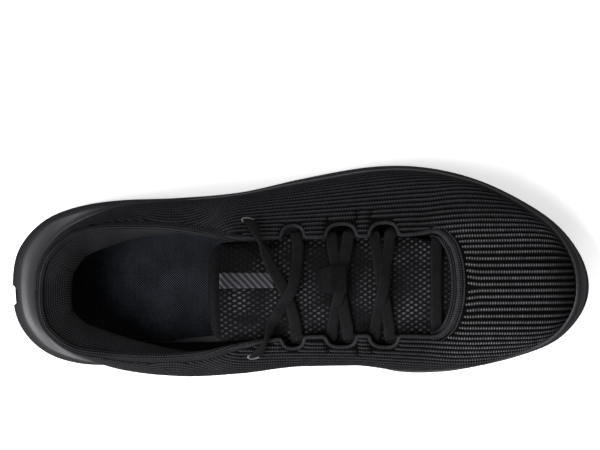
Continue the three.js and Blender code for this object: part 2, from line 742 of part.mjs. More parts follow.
const foamFromX = TONGUE_FROM + FOAM_INSET;
add("tongue_foam_top", tongueLayer(foamFromX, bendTo, 4, foamTop, TONGUE_FOAM, FOAM_INSET), LINING_BLACK);

// ---------- lace ----------
const TAB_COVER = 3.4; // from a tab's edge to the middle of the lace under it
const LIFT = LACE_THICKNESS + LOOSE; // of the upper lace at a crossing
const spot = (x, y, d) => ({ p: onBridge(x, y, d), n: instepNormal(x, y) });
const between = (a, b, t) => [mix(a[0], b[0], t), mix(a[1], b[1], t)];
const underTab = (x, side) => [x, throatEdge(x, side) + side * TAB_COVER];

/** Where the lace leaves the hole with this number towards the toe (1) or the heel (-1). */
function holeLeg(number, side, towards) {
  const { from, to } = HOLES[number];
  const margin = LACE_WIDTH / 2 + 0.2;
  return underTab(towards > 0 ? to - margin : from + margin, side);
}
const barEnd = (side) => underTab(BAR_X, side);

/** A run across the tongue; the lifted one rides over the other at the crossing, a share t of the way. */
function crossing(a, b, t, lifted) {
  const raise = lifted ? LIFT : 0;
  const at = (share, d) => spot(...between(a, b, share), LACE_LEVEL + d);
  const flat = [-0.4, -0.3, -0.2].map((d) => at(t + d, 0));
  const after = [0.2, 0.3, 0.4].map((d) => at(t + d, 0));
  return [...flat, at(t - 0.07, raise), at(t + 0.07, raise), ...after];
}
/** A run under a tab from a leg in one hole to a leg in the next. */
function tabRun(a, b) {
  return [0, 0.25, 0.75, 1].map((t) => spot(...between(a, b, t), LACE_LEVEL));
}

/** The lace's end: from the tongue over the upper's edge and down through the top eyelet into the shoe. */
function tuckedEnd(side) {
  const { x, y } = side > 0 ? EYELET.lateral : EYELET.medial;
  const above = KNIT / 2 + GAP + LACE_THICKNESS;
  const { q, v } = locate(x, y);
  const inside = (dq, dv) => offUpper(q + side * dq, v - dv, -(KNIT + 2 * LACE_ROOM + AGLET_RADIUS));
  const hole = (distance) => offUpper(q, v, distance);
  const along = vec(side, 0, 0);
  const edge = throatEdge(x, side);
  return [
    spot(mix(x, x + 6, 0.9), edge - side * 3.2, above - 0.4),
    spot(x + 2.2, mix(edge, y, 0.35), above),
    { p: hole(above - 0.3).add(vec(0, -side * 1.4, 0)), w: along },
    { p: hole(-KNIT / 2), w: along },
    { p: inside(0, 0.035), w: along },
    { p: inside(0.012, 0.12), w: along },
    { p: inside(0.024, 0.2), w: along },
    { p: inside(0.036, 0.28), w: along },
    { p: inside(0.05, 0.37), w: along },
  ];
}

const L = SIDES.lateral;
const M = SIDES.medial;
const eyeletEntry = (side) => {
  const { x } = side > 0 ? EYELET.lateral : EYELET.medial;
  return [x + 6, throatEdge(x, side) - side * 3.2];
};
const laceRoute = [
  ...tuckedEnd(L).reverse(),
  ...crossing(eyeletEntry(L), holeLeg(0, M, 1), 0.62, false),
  ...tabRun(holeLeg(0, M, 1), holeLeg(1, M, -1)),
  ...crossing(holeLeg(1, M, -1), holeLeg(1, L, 1), 0.5, true),
  ...tabRun(holeLeg(1, L, 1), holeLeg(2, L, -1)),
  ...crossing(holeLeg(2, L, -1), holeLeg(2, M, 1), 0.5, false),
  ...tabRun(holeLeg(2, M, 1), barEnd(M)),
  ...[0.2, 0.4, 0.6, 0.8].map((t) => spot(...between(barEnd(M), barEnd(L), t), LACE_LEVEL)),
  ...tabRun(barEnd(L), holeLeg(2, L, 1)),
  ...crossing(holeLeg(2, L, 1), holeLeg(2, M, -1), 0.5, true),
  ...tabRun(holeLeg(2, M, -1), holeLeg(1, M, 1)),
  ...crossing(holeLeg(1, M, 1), holeLeg(1, L, -1), 0.5, false),
  ...tabRun(holeLeg(1, L, -1), holeLeg(0, L, 1)),
  ...crossing(holeLeg(0, L, 1), eyeletEntry(M), 0.5, true),
  ...tuckedEnd(M),
];

/** A flat band swept through the route, its width lying along the surface that it rests on. */
function sweepBand(route, width, thickness) {
  const curve = new THREE.CatmullRomCurve3(route.map(({ p }) => p), false, "centripetal");
  const last = route.length - 1;
  const tangents = route.map((_, i) => curve.getTangent(i / last));
  const widths = route.map(({ n, w }, i) => (w ? w.clone() : n.clone().cross(tangents[i]).normalize()));
  for (let i = 1; i <= last; i++) if (route[i].w && widths[i].dot(widths[i - 1]) < 0) widths[i].negate();
  for (let i = last - 1; i >= 0; i--) if (route[i].w && widths[i].dot(widths[i + 1]) < 0) widths[i].negate();
  const half = [
    [-0.5, 0],
    [-0.4, 0.5],
    [0.4, 0.5],
    [0.5, 0],
    [0.4, -0.5],
    [-0.4, -0.5],
  ];
  const points = [];
  const sections = [];
  for (let i = 0; i < last; i++) {
    const steps = Math.max(1, Math.round(route[i].p.distanceTo(route[i + 1].p) / 3));
    for (let k = 0; k < steps; k++) sections.push([i, k / steps]);
  }
  sections.push([last - 1, 1]);
  for (const [i, t] of sections) {
    const at = (i + t) / last;
    const centre = curve.getPoint(at);
    const tangent = curve.getTangent(at);
    const across = widths[i].clone().lerp(widths[i + 1], t);
    across.addScaledVector(tangent, -across.dot(tangent)).normalize();
    const up = tangent.clone().cross(across);
    for (const [a, b] of half) {
      const side = centre.clone().addScaledVector(across, a * width);
      points.push(side.addScaledVector(up, b * thickness));
    }
  }
  const n = half.length;
  const faces = [];
  for (let r = 0; r < sections.length - 1; r++)
    for (let i = 0; i < n; i++) {
      const [a, b] = [r * n + i, r * n + ((i + 1) % n)];
      faces.push([a, b, b + n], [a, b + n, a + n]);
    }
  const end = (sections.length - 1) * n;
  for (let i = 1; i < n - 1; i++) faces.push([0, i + 1, i], [end, end + i, end + i + 1]);
  return closedGeometry(points, faces);
}
add("shoelace", sweepBand(laceRoute, LACE_WIDTH, LACE_THICKNESS), LACE_BLACK);

/** The stiff tip beyond the end of the lace. */
function makeAglet(end, before) {
  const direction = end.p.clone().sub(before.p).normalize();
  const tip = new THREE.CylinderGeometry(AGLET_RADIUS * 0.8, AGLET_RADIUS, AGLET_LENGTH, 12);
  tip.translate(0, AGLET_LENGTH / 2, 0);
  tip.applyQuaternion(new THREE.Quaternion().setFromUnitVectors(vec(0, 1, 0), direction));
  const start = end.p.clone().addScaledVector(direction, GAP);
  return tip.translate(start.x, start.y, start.z);
}
add("aglet_lateral", makeAglet(laceRoute[0], laceRoute[1]), PLASTIC_BLACK);
add("aglet_medial", makeAglet(laceRoute.at(-1), laceRoute.at(-2)), PLASTIC_BLACK);

// ---------- label and keeper on the tongue ----------
const LABEL_Y = -4.7 * WIDTH_SCALE;
const LABEL_WIDTH = 9.4;
function makeLabel(x0, x1) {
  const face = (depth) => (u, v) => onBridge(mix(x0, x1, u), LABEL_Y + (v - 0.5) * LABEL_WIDTH, -depth);
  return slab(4, 3, face(TONGUE_TOP - GAP), face(TONGUE_TOP - GAP - LABEL));
}
/** Where the lace's first run passes the label's lateral edge. */
function laceBesideLabel() {
  const [from, to] = [eyeletEntry(L), holeLeg(0, M, 1)];
  const t = (from[1] - (LABEL_Y + LABEL_WIDTH / 2)) / (from[1] - to[1]);
  return mix(from[0], to[0], t);
}
const labelEnd = laceBesideLabel() - 0.55 * LACE_WIDTH - SHELL_GAP;
add("tongue_label", makeLabel(bendFrom, labelEnd), LACE_BLACK);
add("tongue_label_top", makeLabel(-38.5 * LENGTH_SCALE, bendTo), LACE_BLACK);

/** A tab sewn to the tongue behind the second crossing, which it covers. */
function makeKeeper() {
  const [x0, x1] = [11 * LENGTH_SCALE, 23.5 * LENGTH_SCALE];
  const [y0, y1] = [-11 * WIDTH_SCALE, 2.6 * WIDTH_SCALE];
  const seat = -TONGUE_TOP + GAP;
  const over = LACE_LEVEL + LIFT + LACE_THICKNESS / 2 + LOOSE;
  const face = (lift) => (u, v) => {
    const rise = smoothstep((u - 0.12) / 0.3);
    return onBridge(mix(x0, x1, u), mix(y0, y1, v), mix(seat, over, rise) + lift);
  };
  return slab(10, 4, face(LABEL), face(0));
}
add("lace_keeper", makeKeeper(), LACE_BLACK);

export default shoe;
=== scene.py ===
# %% [markdown]
# # A knitted running shoe in Blender
# The exact solids of the shoe are already made. Here each one that shows gets a finer body and a finish:
# knitted ribs, a soft padded collar, a woven lace, a satin foam sole. All sizes in this lesson are in
# millimetres while a shape is worked out, and become metres when a mesh is made.

# %% Load the frame
import math

import bmesh
import bpy
import numpy as np
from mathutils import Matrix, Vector


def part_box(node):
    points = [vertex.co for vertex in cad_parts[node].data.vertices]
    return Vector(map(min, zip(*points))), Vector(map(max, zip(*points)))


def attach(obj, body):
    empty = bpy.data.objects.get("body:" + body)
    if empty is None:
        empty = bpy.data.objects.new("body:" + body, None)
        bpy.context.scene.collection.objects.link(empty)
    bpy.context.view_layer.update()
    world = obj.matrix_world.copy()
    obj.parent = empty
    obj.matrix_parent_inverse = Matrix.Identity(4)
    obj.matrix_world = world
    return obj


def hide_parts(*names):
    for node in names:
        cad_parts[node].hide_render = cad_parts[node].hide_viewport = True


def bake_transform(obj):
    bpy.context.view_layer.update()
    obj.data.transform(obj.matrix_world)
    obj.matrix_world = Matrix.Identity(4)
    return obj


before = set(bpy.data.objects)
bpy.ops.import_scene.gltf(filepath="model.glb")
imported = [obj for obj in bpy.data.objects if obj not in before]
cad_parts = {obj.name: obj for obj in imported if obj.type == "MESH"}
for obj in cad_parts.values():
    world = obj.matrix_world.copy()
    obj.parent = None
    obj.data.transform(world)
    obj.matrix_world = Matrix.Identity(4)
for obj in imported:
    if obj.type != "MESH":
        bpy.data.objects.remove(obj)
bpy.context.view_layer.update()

# %% [markdown]
# ## The camera, the floor and the light
# The shoe stands on white paper and is seen straight from above, toe to the right. A long lens a
# metre and a half up keeps the collar from looking larger than the sole. The light is a broad soft box above
# the heel, so that every rib of the knit gets a lit side and a dark side. The world is pale overhead and dark
# at the horizon, as black flags round a table make it: black foam then keeps its dark outline on white.

# %% Camera
MM = 0.001
CAMERA_HEIGHT = 1450
FRAME_WIDTH = 317.5  # width of the view on the floor

scene = bpy.context.scene
camera_data = bpy.data.cameras.new("camera")
camera_data.sensor_width = 36
camera_data.lens = 36 * CAMERA_HEIGHT / FRAME_WIDTH
camera_data.clip_end = 20
camera = bpy.data.objects.new("camera", camera_data)
camera.location = (0, 23 * MM, CAMERA_HEIGHT * MM)
scene.collection.objects.link(camera)
scene.camera = camera
scene.view_settings.view_transform = "Standard"
scene.view_settings.look = "None"


# %% [markdown]
# ### Nodes and colours
# One function adds a shader node with its settings and its links, and one turns the hex colours of a paint
# chart into the linear numbers that the renderer works in.

# %% Helpers for materials
def linear(code):
    """A hex sRGB colour as linear RGBA."""
    parts = [int(code[i : i + 2], 16) / 255 for i in (1, 3, 5)]
    return [p / 12.92 if p <= 0.04045 else ((p + 0.055) / 1.055) ** 2.4 for p in parts] + [1]


def node(material, kind, inputs=None, output=0, stops=(), **settings):
    """Adds a node with its settings and links, and returns one of its outputs.

    Each input is a value, or an output that is linked to it. A colour ramp has stops of (place, hex colour).
    """
    tree = material.node_tree
    made = tree.nodes.new("ShaderNode" + kind)
    for key, value in settings.items():
        setattr(made, key, value)
    if stops:
        elements = made.color_ramp.elements
        while len(elements) < len(stops):
            elements.new(1)
        for element, (place, code) in zip(elements, stops):
            element.position = place
            element.color = linear(code)
    for key, value in (inputs or {}).items():
        if isinstance(value, bpy.types.NodeSocket):
            tree.links.new(value, made.inputs[key])
        else:
            made.inputs[key].default_value = value
    return made.outputs[output]


def new_material(name):
    """A material with its shader ready, and nothing linked to it yet."""
    material = bpy.data.materials.new(name)
    material.use_nodes = True
    return material, material.node_tree.nodes["Principled BSDF"]


def link(material, output, shader, socket):
    material.node_tree.links.new(output, shader.inputs[socket])


# %% Floor and lights
def make_floor():
    bpy.ops.object.select_all(action="DESELECT")
    bpy.ops.mesh.primitive_plane_add(size=12, location=(0, 0, -0.0005))
    floor = bpy.context.object
    floor.name = "floor"
    material, shader = new_material("white_studio_paper")
    shader.inputs["Base Color"].default_value = linear("#fafafa")
    shader.inputs["Roughness"].default_value = 0.9
    shader.inputs["Specular IOR Level"].default_value = 0.1
    shader.inputs["Emission Color"].default_value = (1, 1, 1, 1)
    shader.inputs["Emission Strength"].default_value = 0.42
    floor.data.materials.append(material)
    floor.visible_diffuse = False
    floor.visible_glossy = False


make_floor()


def soft_box(name, place, size, power):
    """An area light that faces the shoe."""
    data = bpy.data.lights.new(name, "AREA")
    data.shape = "RECTANGLE"
    data.size, data.size_y = size
    data.energy = power
    lamp = bpy.data.objects.new(name, data)
    lamp.location = place
    lamp.rotation_euler = Vector(place).to_track_quat("Z", "Y").to_euler()
    scene.collection.objects.link(lamp)


soft_box("key_box", (-0.8, -0.45, 1.45), (0.8, 0.8), 33)
soft_box("lateral_strip", (0.0, 1.5, 0.75), (1.8, 0.35), 13)
soft_box("medial_strip", (-0.5, -1.5, 0.65), (1.6, 0.35), 28)
world = bpy.data.worlds.new("flagged_studio")
world.use_nodes = True
direction = world.node_tree.nodes.new("ShaderNodeTexCoord").outputs["Generated"]
parts = world.node_tree.nodes.new("ShaderNodeSeparateXYZ")
world.node_tree.links.new(direction, parts.inputs[0])
sky = world.node_tree.nodes.new("ShaderNodeValToRGB")
world.node_tree.links.new(parts.outputs["Z"], sky.inputs["Fac"])
sky.color_ramp.elements[0].position, sky.color_ramp.elements[0].color = 0.0, linear("#2c2c2c")
sky.color_ramp.elements[1].position, sky.color_ramp.elements[1].color = 0.9, linear("#c8c8c8")
world.node_tree.links.new(sky.outputs["Color"], world.node_tree.nodes["Background"].inputs["Color"])
world.node_tree.nodes["Background"].inputs["Strength"].default_value = 0.6
scene.world = world

# %% [markdown]
# ## The curves that the shoe is drawn on
# A shoe is lofted between two closed lines: the feather line, where the upper meets the sole, and the
# topline round the collar and the throat. Both run from the heel (0) along the lateral side to the toe (1)
# and back along the medial side to the heel (2). A smooth curve through a short table gives each of them its
# place, and the same tables gave the solids their shape, so whatever is made here fits round them.

# %% Smooth curves through tables
FOOT_AXIS = -8.7


def hermite(x, x0, y0, x1, y1, m0, m1):
    h = x1 - x0
    t = (x - x0) / h
    a = (1 + 2 * t) * (1 - t) ** 2 * y0 + t * (1 - t) ** 2 * h * m0
    return a + t * t * (3 - 2 * t) * y1 + t * t * (t - 1) * h * m1


def around(rows):
    """Closed curve through rows of (station, lateral value, medial value)."""
    knots = [(s, a) for s, a, _ in rows] + [(2 - s, b) for s, _, b in rows[-2:0:-1]]
    s = np.array([k[0] for k in knots])
    y = np.array([k[1] for k in knots], float)
    s = np.concatenate([s[-2:] - 2, s, s[:3] + 2])
    y = np.concatenate([y[-2:], y, y[:3]])

    def curve(q):
        w = np.mod(q, 2)
        i = np.clip(np.searchsorted(s, w, side="right") - 1, 1, len(s) - 3)
        m0 = (y[i + 1] - y[i - 1]) / (s[i + 1] - s[i - 1])
        m1 = (y[i + 2] - y[i]) / (s[i + 2] - s[i])
        return hermite(w, s[i], y[i], s[i + 1], y[i + 1], m0, m1)

    return curve


def along(rows):
    """Open curve through rows of (x, value), straight on past its ends."""
    xs = np.array([r[0] for r in rows], float)
    ys = np.array([r[1] for r in rows], float)
    last = len(xs) - 1
    lo = np.maximum(np.arange(last + 1) - 1, 0)
    hi = np.minimum(np.arange(last + 1) + 1, last)
    slopes = (ys[hi] - ys[lo]) / (xs[hi] - xs[lo])

    def curve(x):
        x = np.asarray(x, float)
        i = np.clip(np.searchsorted(xs, x, side="right") - 1, 0, last - 1)
        inside = hermite(x, xs[i], ys[i], xs[i + 1], ys[i + 1], slopes[i], slopes[i + 1])
        before = ys[0] + slopes[0] * (x - xs[0])
        after = ys[-1] + slopes[-1] * (x - xs[-1])
        return np.where(x <= xs[0], before, np.where(x >= xs[-1], after, inside))

    return curve


def smoothstep(t):
    t = np.clip(t, 0, 1)
    return t * t * (3 - 2 * t)


def mix(a, b, t):
    return a + (b - a) * t


def station(q):
    w = np.mod(q, 2)
    return np.where(w <= 1, w, 2 - w)


# %% [markdown]
# ### The sole's outline and its heights
# A running shoe is wide under the ball, narrow at the waist and flared at the heel. The sole curls up at the
# toe, so that the foot rolls off it, and a little at the heel, where it lands.

# %% Outline and floor
outline_y = around([
    (0, -8.7, -8.7), (0.04, 4.2, -21.8), (0.085, 14, -32), (0.156, 26.3, -44), (0.223, 33, -49.7),
    (0.285, 36.0, -50.2), (0.36, 37.2, -48.3), (0.434, 40.2, -43.6), (0.5, 47, -40), (0.566, 52.7, -45.4),
    (0.613, 54.1, -52.9), (0.662, 52, -53.9), (0.715, 46.3, -50.6), (0.777, 36.4, -45.2),
    (0.848, 23.7, -37.2), (0.924, 7.4, -23.6), (1, -8.7, -8.7),
])  # fmt: skip
feather_inset = around([
    (0, 16.6, 16.6), (0.04, 17.4, 16.9), (0.085, 17.6, 16.6), (0.156, 15.6, 15),
    (0.223, 12.2, 11.8), (0.285, 9, 9.3), (0.36, 6.3, 7), (0.434, 5.5, 5.5),
    (0.55, 6.5, 5.5), (0.662, 6.8, 6), (0.8, 6.4, 5.6), (1, 8.2, 8.2),
])  # fmt: skip
floor_stack = along([(-150, 26), (-70, 26), (20, 18.8), (60, 17), (150, 17)])


def outline(q):
    return np.stack([-150 * np.cos(np.pi * station(q)), outline_y(q)], -1)


def ground_z(x):
    toe = np.clip((x - 42) / 108, 0, 1)
    heel = np.clip((-112 - x) / 38, 0, 1)
    return 13 * toe**2 + 6 * heel**2


def floor_z(x):
    """The floor of the foam cup."""
    return floor_stack(x) + 0.72 * 13 * np.clip((x - 42) / 108, 0, 1) ** 2


def plan_normal(loop, q):
    d = loop(q + 1e-3) - loop(q - 1e-3)
    n = np.stack([-d[..., 1], d[..., 0]], -1)
    return n / np.linalg.norm(n, axis=-1, keepdims=True)


def feather_xy(q):
    return outline(q) - plan_normal(outline, q) * feather_inset(q)[..., None]


# %% [markdown]
# ### The wall of the upper
# At every station a cubic curve climbs from the feather line to the topline. It leaves the sole bulging
# outwards and arrives steeply at the collar, or nearly level at the throat. The distance below that surface
# places each layer: the knit, the padding and the lining.

# %% Collar, throat and wall
topline_x = around([
    (0, -130, -130), (0.04, -129, -129.4), (0.085, -125, -125.4), (0.156, -113.6, -113.6),
    (0.223, -98, -98), (0.285, -82, -82), (0.338, -66, -66), (0.387, -50, -50), (0.434, -34, -33),
    (0.5, -8, -8), (0.566, 20, 20), (0.613, 40, 40), (0.662, 57, 57), (0.715, 69, 69),
    (0.777, 75.5, 75), (0.848, 78.6, 78), (0.924, 80, 79.8), (1, 80.3, 80.3),
])  # fmt: skip
topline_y = around([
    (0, -9.5, -9.5), (0.04, 0, -20.4), (0.085, 9, -30), (0.156, 18.8, -39.2), (0.223, 22.4, -42.4),
    (0.285, 23, -44), (0.338, 22.3, -44.2), (0.387, 20, -42.6), (0.434, 16.8, -38.2),
    (0.5, 16.6, -33.8), (0.566, 17, -33), (0.613, 17.4, -33), (0.662, 18, -33.4),
    (0.715, 19.5, -33.6), (0.777, 14.5, -29.5), (0.848, 7.6, -23.5), (0.924, -0.6, -16),
    (1, -8.7, -8.7),
])  # fmt: skip
collar_z = around([
    (0, 92, 92), (0.085, 91, 91), (0.156, 85.5, 85.5), (0.223, 79, 79), (0.285, 74.5, 74.5),
    (0.338, 73.5, 73.5), (0.387, 77, 77), (0.434, 85, 83), (0.5, 84, 84), (1, 84, 84),
])  # fmt: skip
flare = around([
    (0, 2, 2), (0.085, 3, 3), (0.156, 4.5, 4), (0.285, 8, 10), (0.434, 8, 21.5), (0.52, 7, 22),
    (0.613, 9, 10), (0.715, 9.5, 8.5), (0.86, 8.6, 8), (1, 7.6, 7.6),
])  # fmt: skip
rise = around([(0, 26, 26), (0.285, 24, 24), (0.5, 24, 26), (0.715, 22, 22), (1, 17, 17)])
reach = around([
    (0, 4, 4), (0.085, 3.5, 3), (0.156, 4.5, 3.5), (0.223, 6.5, 6.5), (0.285, 10, 11),
    (0.387, 12, 13), (0.46, 18, 15), (0.613, 24, 13), (0.715, 24, 16), (0.86, 30, 28), (1, 36, 36),
])  # fmt: skip
drop = around([
    (0, 24, 24), (0.285, 20, 20), (0.387, 18, 18), (0.46, 15, 13), (0.613, 12, 9), (0.715, 8.5, 8),
    (0.86, 7, 7), (1, 8, 8),
])  # fmt: skip
ridge_z = along([(-50, 113), (-38, 106), (-28, 99.5), (0, 88.5), (40, 74.5), (79, 61.5), (95, 57.5)])
instep_curve = along([(-40, 0.0185), (0, 0.0165), (40, 0.013), (80, 0.0095)])
COLLAR_END = 0.434


def instep_z(x, y):
    return ridge_z(x) - instep_curve(x) * (y - FOOT_AXIS) ** 2


def instep_normal(x, y):
    dx = instep_z(x + 0.5, y) - instep_z(x - 0.5, y)
    dy = instep_z(x, y + 0.5) - instep_z(x, y - 0.5)
    n = np.stack([-dx, -dy, np.ones_like(dx)], -1)
    return n / np.linalg.norm(n, axis=-1, keepdims=True)


def topline_xy(q):
    return np.stack([topline_x(q), topline_y(q)], -1)


def upper(q, v):
    """Points of the knit's outer face, q round the shoe and v from the sole (0) to the topline (1)."""
    foot = feather_xy(q)
    top = topline_xy(q)
    on_collar = 1 - smoothstep((station(q) - COLLAR_END + 0.05) / 0.06)
    top_z = mix(instep_z(top[..., 0], top[..., 1]), collar_z(q), on_collar)
    foot_z = floor_z(foot[..., 0]) + 0.3
    low = foot + plan_normal(feather_xy, q) * flare(q)[..., None]
    high = top + plan_normal(topline_xy, q) * reach(q)[..., None]
    a = np.concatenate([foot, foot_z[..., None]], -1)
    b = np.concatenate([low, (foot_z + rise(q))[..., None]], -1)
    c = np.concatenate([high, (top_z - drop(q))[..., None]], -1)
    d = np.concatenate([top, top_z[..., None]], -1)
    t = np.asarray(v)[..., None]
    return (1 - t) ** 3 * a + 3 * t * (1 - t) ** 2 * b + 3 * t * t * (1 - t) * c + t**3 * d


def upper_normal(q, v):
    e = 2e-3
    v0 = np.maximum(v - e, 0)
    dq = upper(q + e, v) - upper(q - e, v)
    dv = upper(q, np.minimum(v0 + 2 * e, 1)) - upper(q, v0)
    n = np.cross(dv, dq)
    return n / np.linalg.norm(n, axis=-1, keepdims=True)


def off_upper(q, v, distance):
    """Points at a distance outside (positive) or inside the knit's outer face."""
    q, v = np.broadcast_arrays(np.asarray(q, float), np.asarray(v, float))
    distance = np.broadcast_to(distance, q.shape)
    return upper(q, v) + upper_normal(q, v) * distance[..., None]


def height_to_v(q, z):
    low, high = np.zeros_like(q), np.ones_like(q)
    for _ in range(20):
        v = (low + high) / 2
        below = upper(q, v)[..., 2] < z
        low, high = np.where(below, v, low), np.where(below, high, v)
    return (low + high) / 2


print("the wall at the lateral ball is", np.round(upper(np.array([0.6]), np.array([0.5])), 1), "mm")


# %% [markdown]
# ### The surface that spans the throat
# The tongue and the lace lie on a surface that bridges the throat from edge to edge. Inside the throat it is
# the arch of the instep. Outside it is the upper itself, whose point over a place in plan is found by a few
# steps of Newton's method.

# %% The bridge over the throat
_samples = np.arange(480) / 240
_topline_samples = topline_xy(_samples)


def locate(x, y):
    """For places in plan: loop parameter, v, and whether the place is outside the topline."""
    x, y = np.broadcast_arrays(np.asarray(x, float), np.asarray(y, float))
    here = np.stack([x, y], -1)
    gap = np.linalg.norm(here[..., None, :] - _topline_samples, axis=-1)
    q = _samples[np.argmin(gap, -1)].astype(float)
    outside = np.sum((here - topline_xy(q)) * plan_normal(topline_xy, q), -1)
    v = 1 - np.clip(outside / 60, 0, 0.4)
    e = 1e-4
    for _ in range(8):
        p = upper(q, v)
        dq = (upper(q + e, v) - upper(q - e, v)) / (2 * e)
        dv = (upper(q, v + e) - upper(q, v - e)) / (2 * e)
        det = dq[..., 0] * dv[..., 1] - dq[..., 1] * dv[..., 0]
        ex, ey = x - p[..., 0], y - p[..., 1]
        q = q + np.clip((ex * dv[..., 1] - ey * dv[..., 0]) / det, -0.05, 0.05)
        v = v + np.clip((ey * dq[..., 0] - ex * dq[..., 1]) / det, -0.2, 0.2)
    return q, v, outside > 0


def bridge_z(x, y):
    q, v, outside = locate(x, y)
    return np.where(outside, upper(q, np.clip(v, 0, 1))[..., 2], instep_z(x, y))


def on_bridge(x, y, distance):
    x, y = np.broadcast_arrays(np.asarray(x, float), np.asarray(y, float))
    distance = np.broadcast_to(distance, x.shape)
    base = np.stack([x, y, bridge_z(x, y)], -1)
    return base + instep_normal(x, y) * distance[..., None]


def throat_edge(x, side):
    low, high = COLLAR_END - 0.06, 0.72
    for _ in range(24):
        s = (low + high) / 2
        if topline_x(np.array(s if side > 0 else 2 - s)) < x:
            low = s
        else:
            high = s
    return float(topline_y(np.array(low if side > 0 else 2 - low)))


# %% [markdown]
# ### From rows of points to a mesh
# A knitted wall or a foam wall is a grid of points. This helper makes its faces and gives it a UV map in
# millimetres, so that a weave keeps its real size wherever the surface goes.

# %% Grid helpers
def new_object(name, points, faces, material, uv=None):
    """A mesh object from points in millimetres. uv has one pair for each point, in millimetres."""
    mesh = bpy.data.meshes.new(name)
    mesh.from_pydata((np.asarray(points, float).reshape(-1, 3) * MM).tolist(), [], faces)
    if uv is not None:
        layer = mesh.uv_layers.new(name="thread")
        corner = np.empty(len(mesh.loops), dtype=np.int32)
        mesh.loops.foreach_get("vertex_index", corner)
        layer.data.foreach_set("uv", np.asarray(uv, float).reshape(-1, 2)[corner].ravel())
    for m in material if isinstance(material, (list, tuple)) else [material]:
        mesh.materials.append(m)
    obj = bpy.data.objects.new(name, mesh)
    scene.collection.objects.link(obj)
    mesh.polygons.foreach_set("use_smooth", [True] * len(mesh.polygons))
    return obj


def fix_normals(obj, merge=0.0):
    """Merges doubles and turns all faces outwards."""
    bm = bmesh.new()
    bm.from_mesh(obj.data)
    if merge:
        bmesh.ops.remove_doubles(bm, verts=bm.verts, dist=merge * MM)
    bmesh.ops.recalc_face_normals(bm, faces=bm.faces)
    if bm.calc_volume(signed=True) < 0:
        bmesh.ops.reverse_faces(bm, faces=bm.faces)
    bm.to_mesh(obj.data)
    bm.free()
    return obj


def grid_faces(rows, columns, closed_rows=False, closed_columns=False, start=0):
    i, j = np.meshgrid(
        np.arange(rows if closed_rows else rows - 1),
        np.arange(columns if closed_columns else columns - 1),
        indexing="ij",
    )
    i2, j2 = (i + 1) % rows, (j + 1) % columns
    quads = np.stack([i * columns + j, i2 * columns + j, i2 * columns + j2, i * columns + j2], -1)
    return (quads.reshape(-1, 4) + start).tolist()


def closed_sheet(name, face, back, material, uv, closed_rows=False):
    """A closed piece between two grids of points, with a wall along its open edges."""
    rows, n = face.shape[:2]
    size = rows * n
    faces = grid_faces(rows, n, closed_rows) + grid_faces(rows, n, closed_rows, start=size)
    for i in range(rows if closed_rows else rows - 1):
        for column in (0, n - 1):
            a, b = i * n + column, (i + 1) % rows * n + column
            faces.append([a, b, size + b, size + a])
    if not closed_rows:
        for j in range(n - 1):
            for a in (j, (rows - 1) * n + j):
                faces.append([a, a + 1, size + a + 1, size + a])
    points = np.concatenate([face.reshape(-1, 3), back.reshape(-1, 3)])
    return fix_normals(new_object(name, points, faces, material, np.tile(uv.reshape(-1, 2), (2, 1))))


def lengths_along(points, axis):
    """Running length in millimetres along one axis of a grid of points."""
    step = np.linalg.norm(np.diff(points, axis=axis), axis=-1)
    zero = np.zeros_like(np.take(step, [0], axis))
    return np.concatenate([zero, np.cumsum(step, axis)], axis)


def finish_piece(obj, body, *nodes, slot=None):
    """Puts a piece on its body in place of the solids that it stands for."""
    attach(obj, body)
    if nodes:
        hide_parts(*nodes)
    corners = np.array([v.co for v in obj.data.vertices])
    size = (corners.max(0) - corners.min(0)) / MM
    print(obj.name, len(obj.data.polygons), "faces", np.round(size, 1), "mm")


def deselect():
    if bpy.context.object and bpy.context.object.mode != "OBJECT":
        bpy.ops.object.mode_set(mode="OBJECT")
    bpy.ops.object.select_all(action="DESELECT")


def apply_modifier(obj, kind, **settings):
    """Adds a modifier, sets it, and applies it."""
    deselect()
    bpy.context.view_layer.objects.active = obj
    obj.select_set(True)
    made = obj.modifiers.new(kind.lower(), kind)
    for key, value in settings.items():
        setattr(made, key, value)
    bpy.ops.object.modifier_apply(modifier=made.name)


# %% [markdown]
# ## Finishes
# Everything on this shoe is nearly black, so the finishes differ by how they take light: the knit is dull and
# rough, with painted sheen specks and a painted highlight on the crowns of its ribs, the moulded foam has a
# satin skin, rubber is deep black, the lace is a tight weave with a slight sheen, and the insole is a
# blue-grey cloth.
#
# Patterns that follow the thread read the piece's own UV map, which is in millimetres. Clouds and grain read
# object coordinates, where a scale of 1 / (9 * MM) gives blobs about 9 mm across.

# %% What the finishes share
def thread_axes(material):
    """Millimetres along the thread and across it, from the piece's own UV map."""
    uv = node(material, "UVMap", uv_map="thread")
    axes = node(material, "SeparateXYZ", {0: uv}).node.outputs
    return axes[0], axes[1]


def thread_wave(material, along_mm, pitch):
    """0 to 1 and back once every pitch millimetres."""
    turn = node(material, "Math", {0: along_mm, 1: 2 * math.pi / pitch}, operation="MULTIPLY")
    swing = node(material, "Math", {0: turn}, operation="SINE")
    return node(material, "Math", {0: swing, 1: 0.5, 2: 0.5}, operation="MULTIPLY_ADD")


def lay_finish(material, shader, colour, relief, strength, depth, roughness, specular=0.5):
    """Gives the shader its colour, its relief (depth in millimetres) and its shine."""
    normal = node(material, "Bump", {"Height": relief, "Strength": strength, "Distance": depth * MM})
    link(material, colour, shader, "Base Color")
    link(material, normal, shader, "Normal")
    shader.inputs["Roughness"].default_value = roughness
    shader.inputs["Specular IOR Level"].default_value = specular
    return material


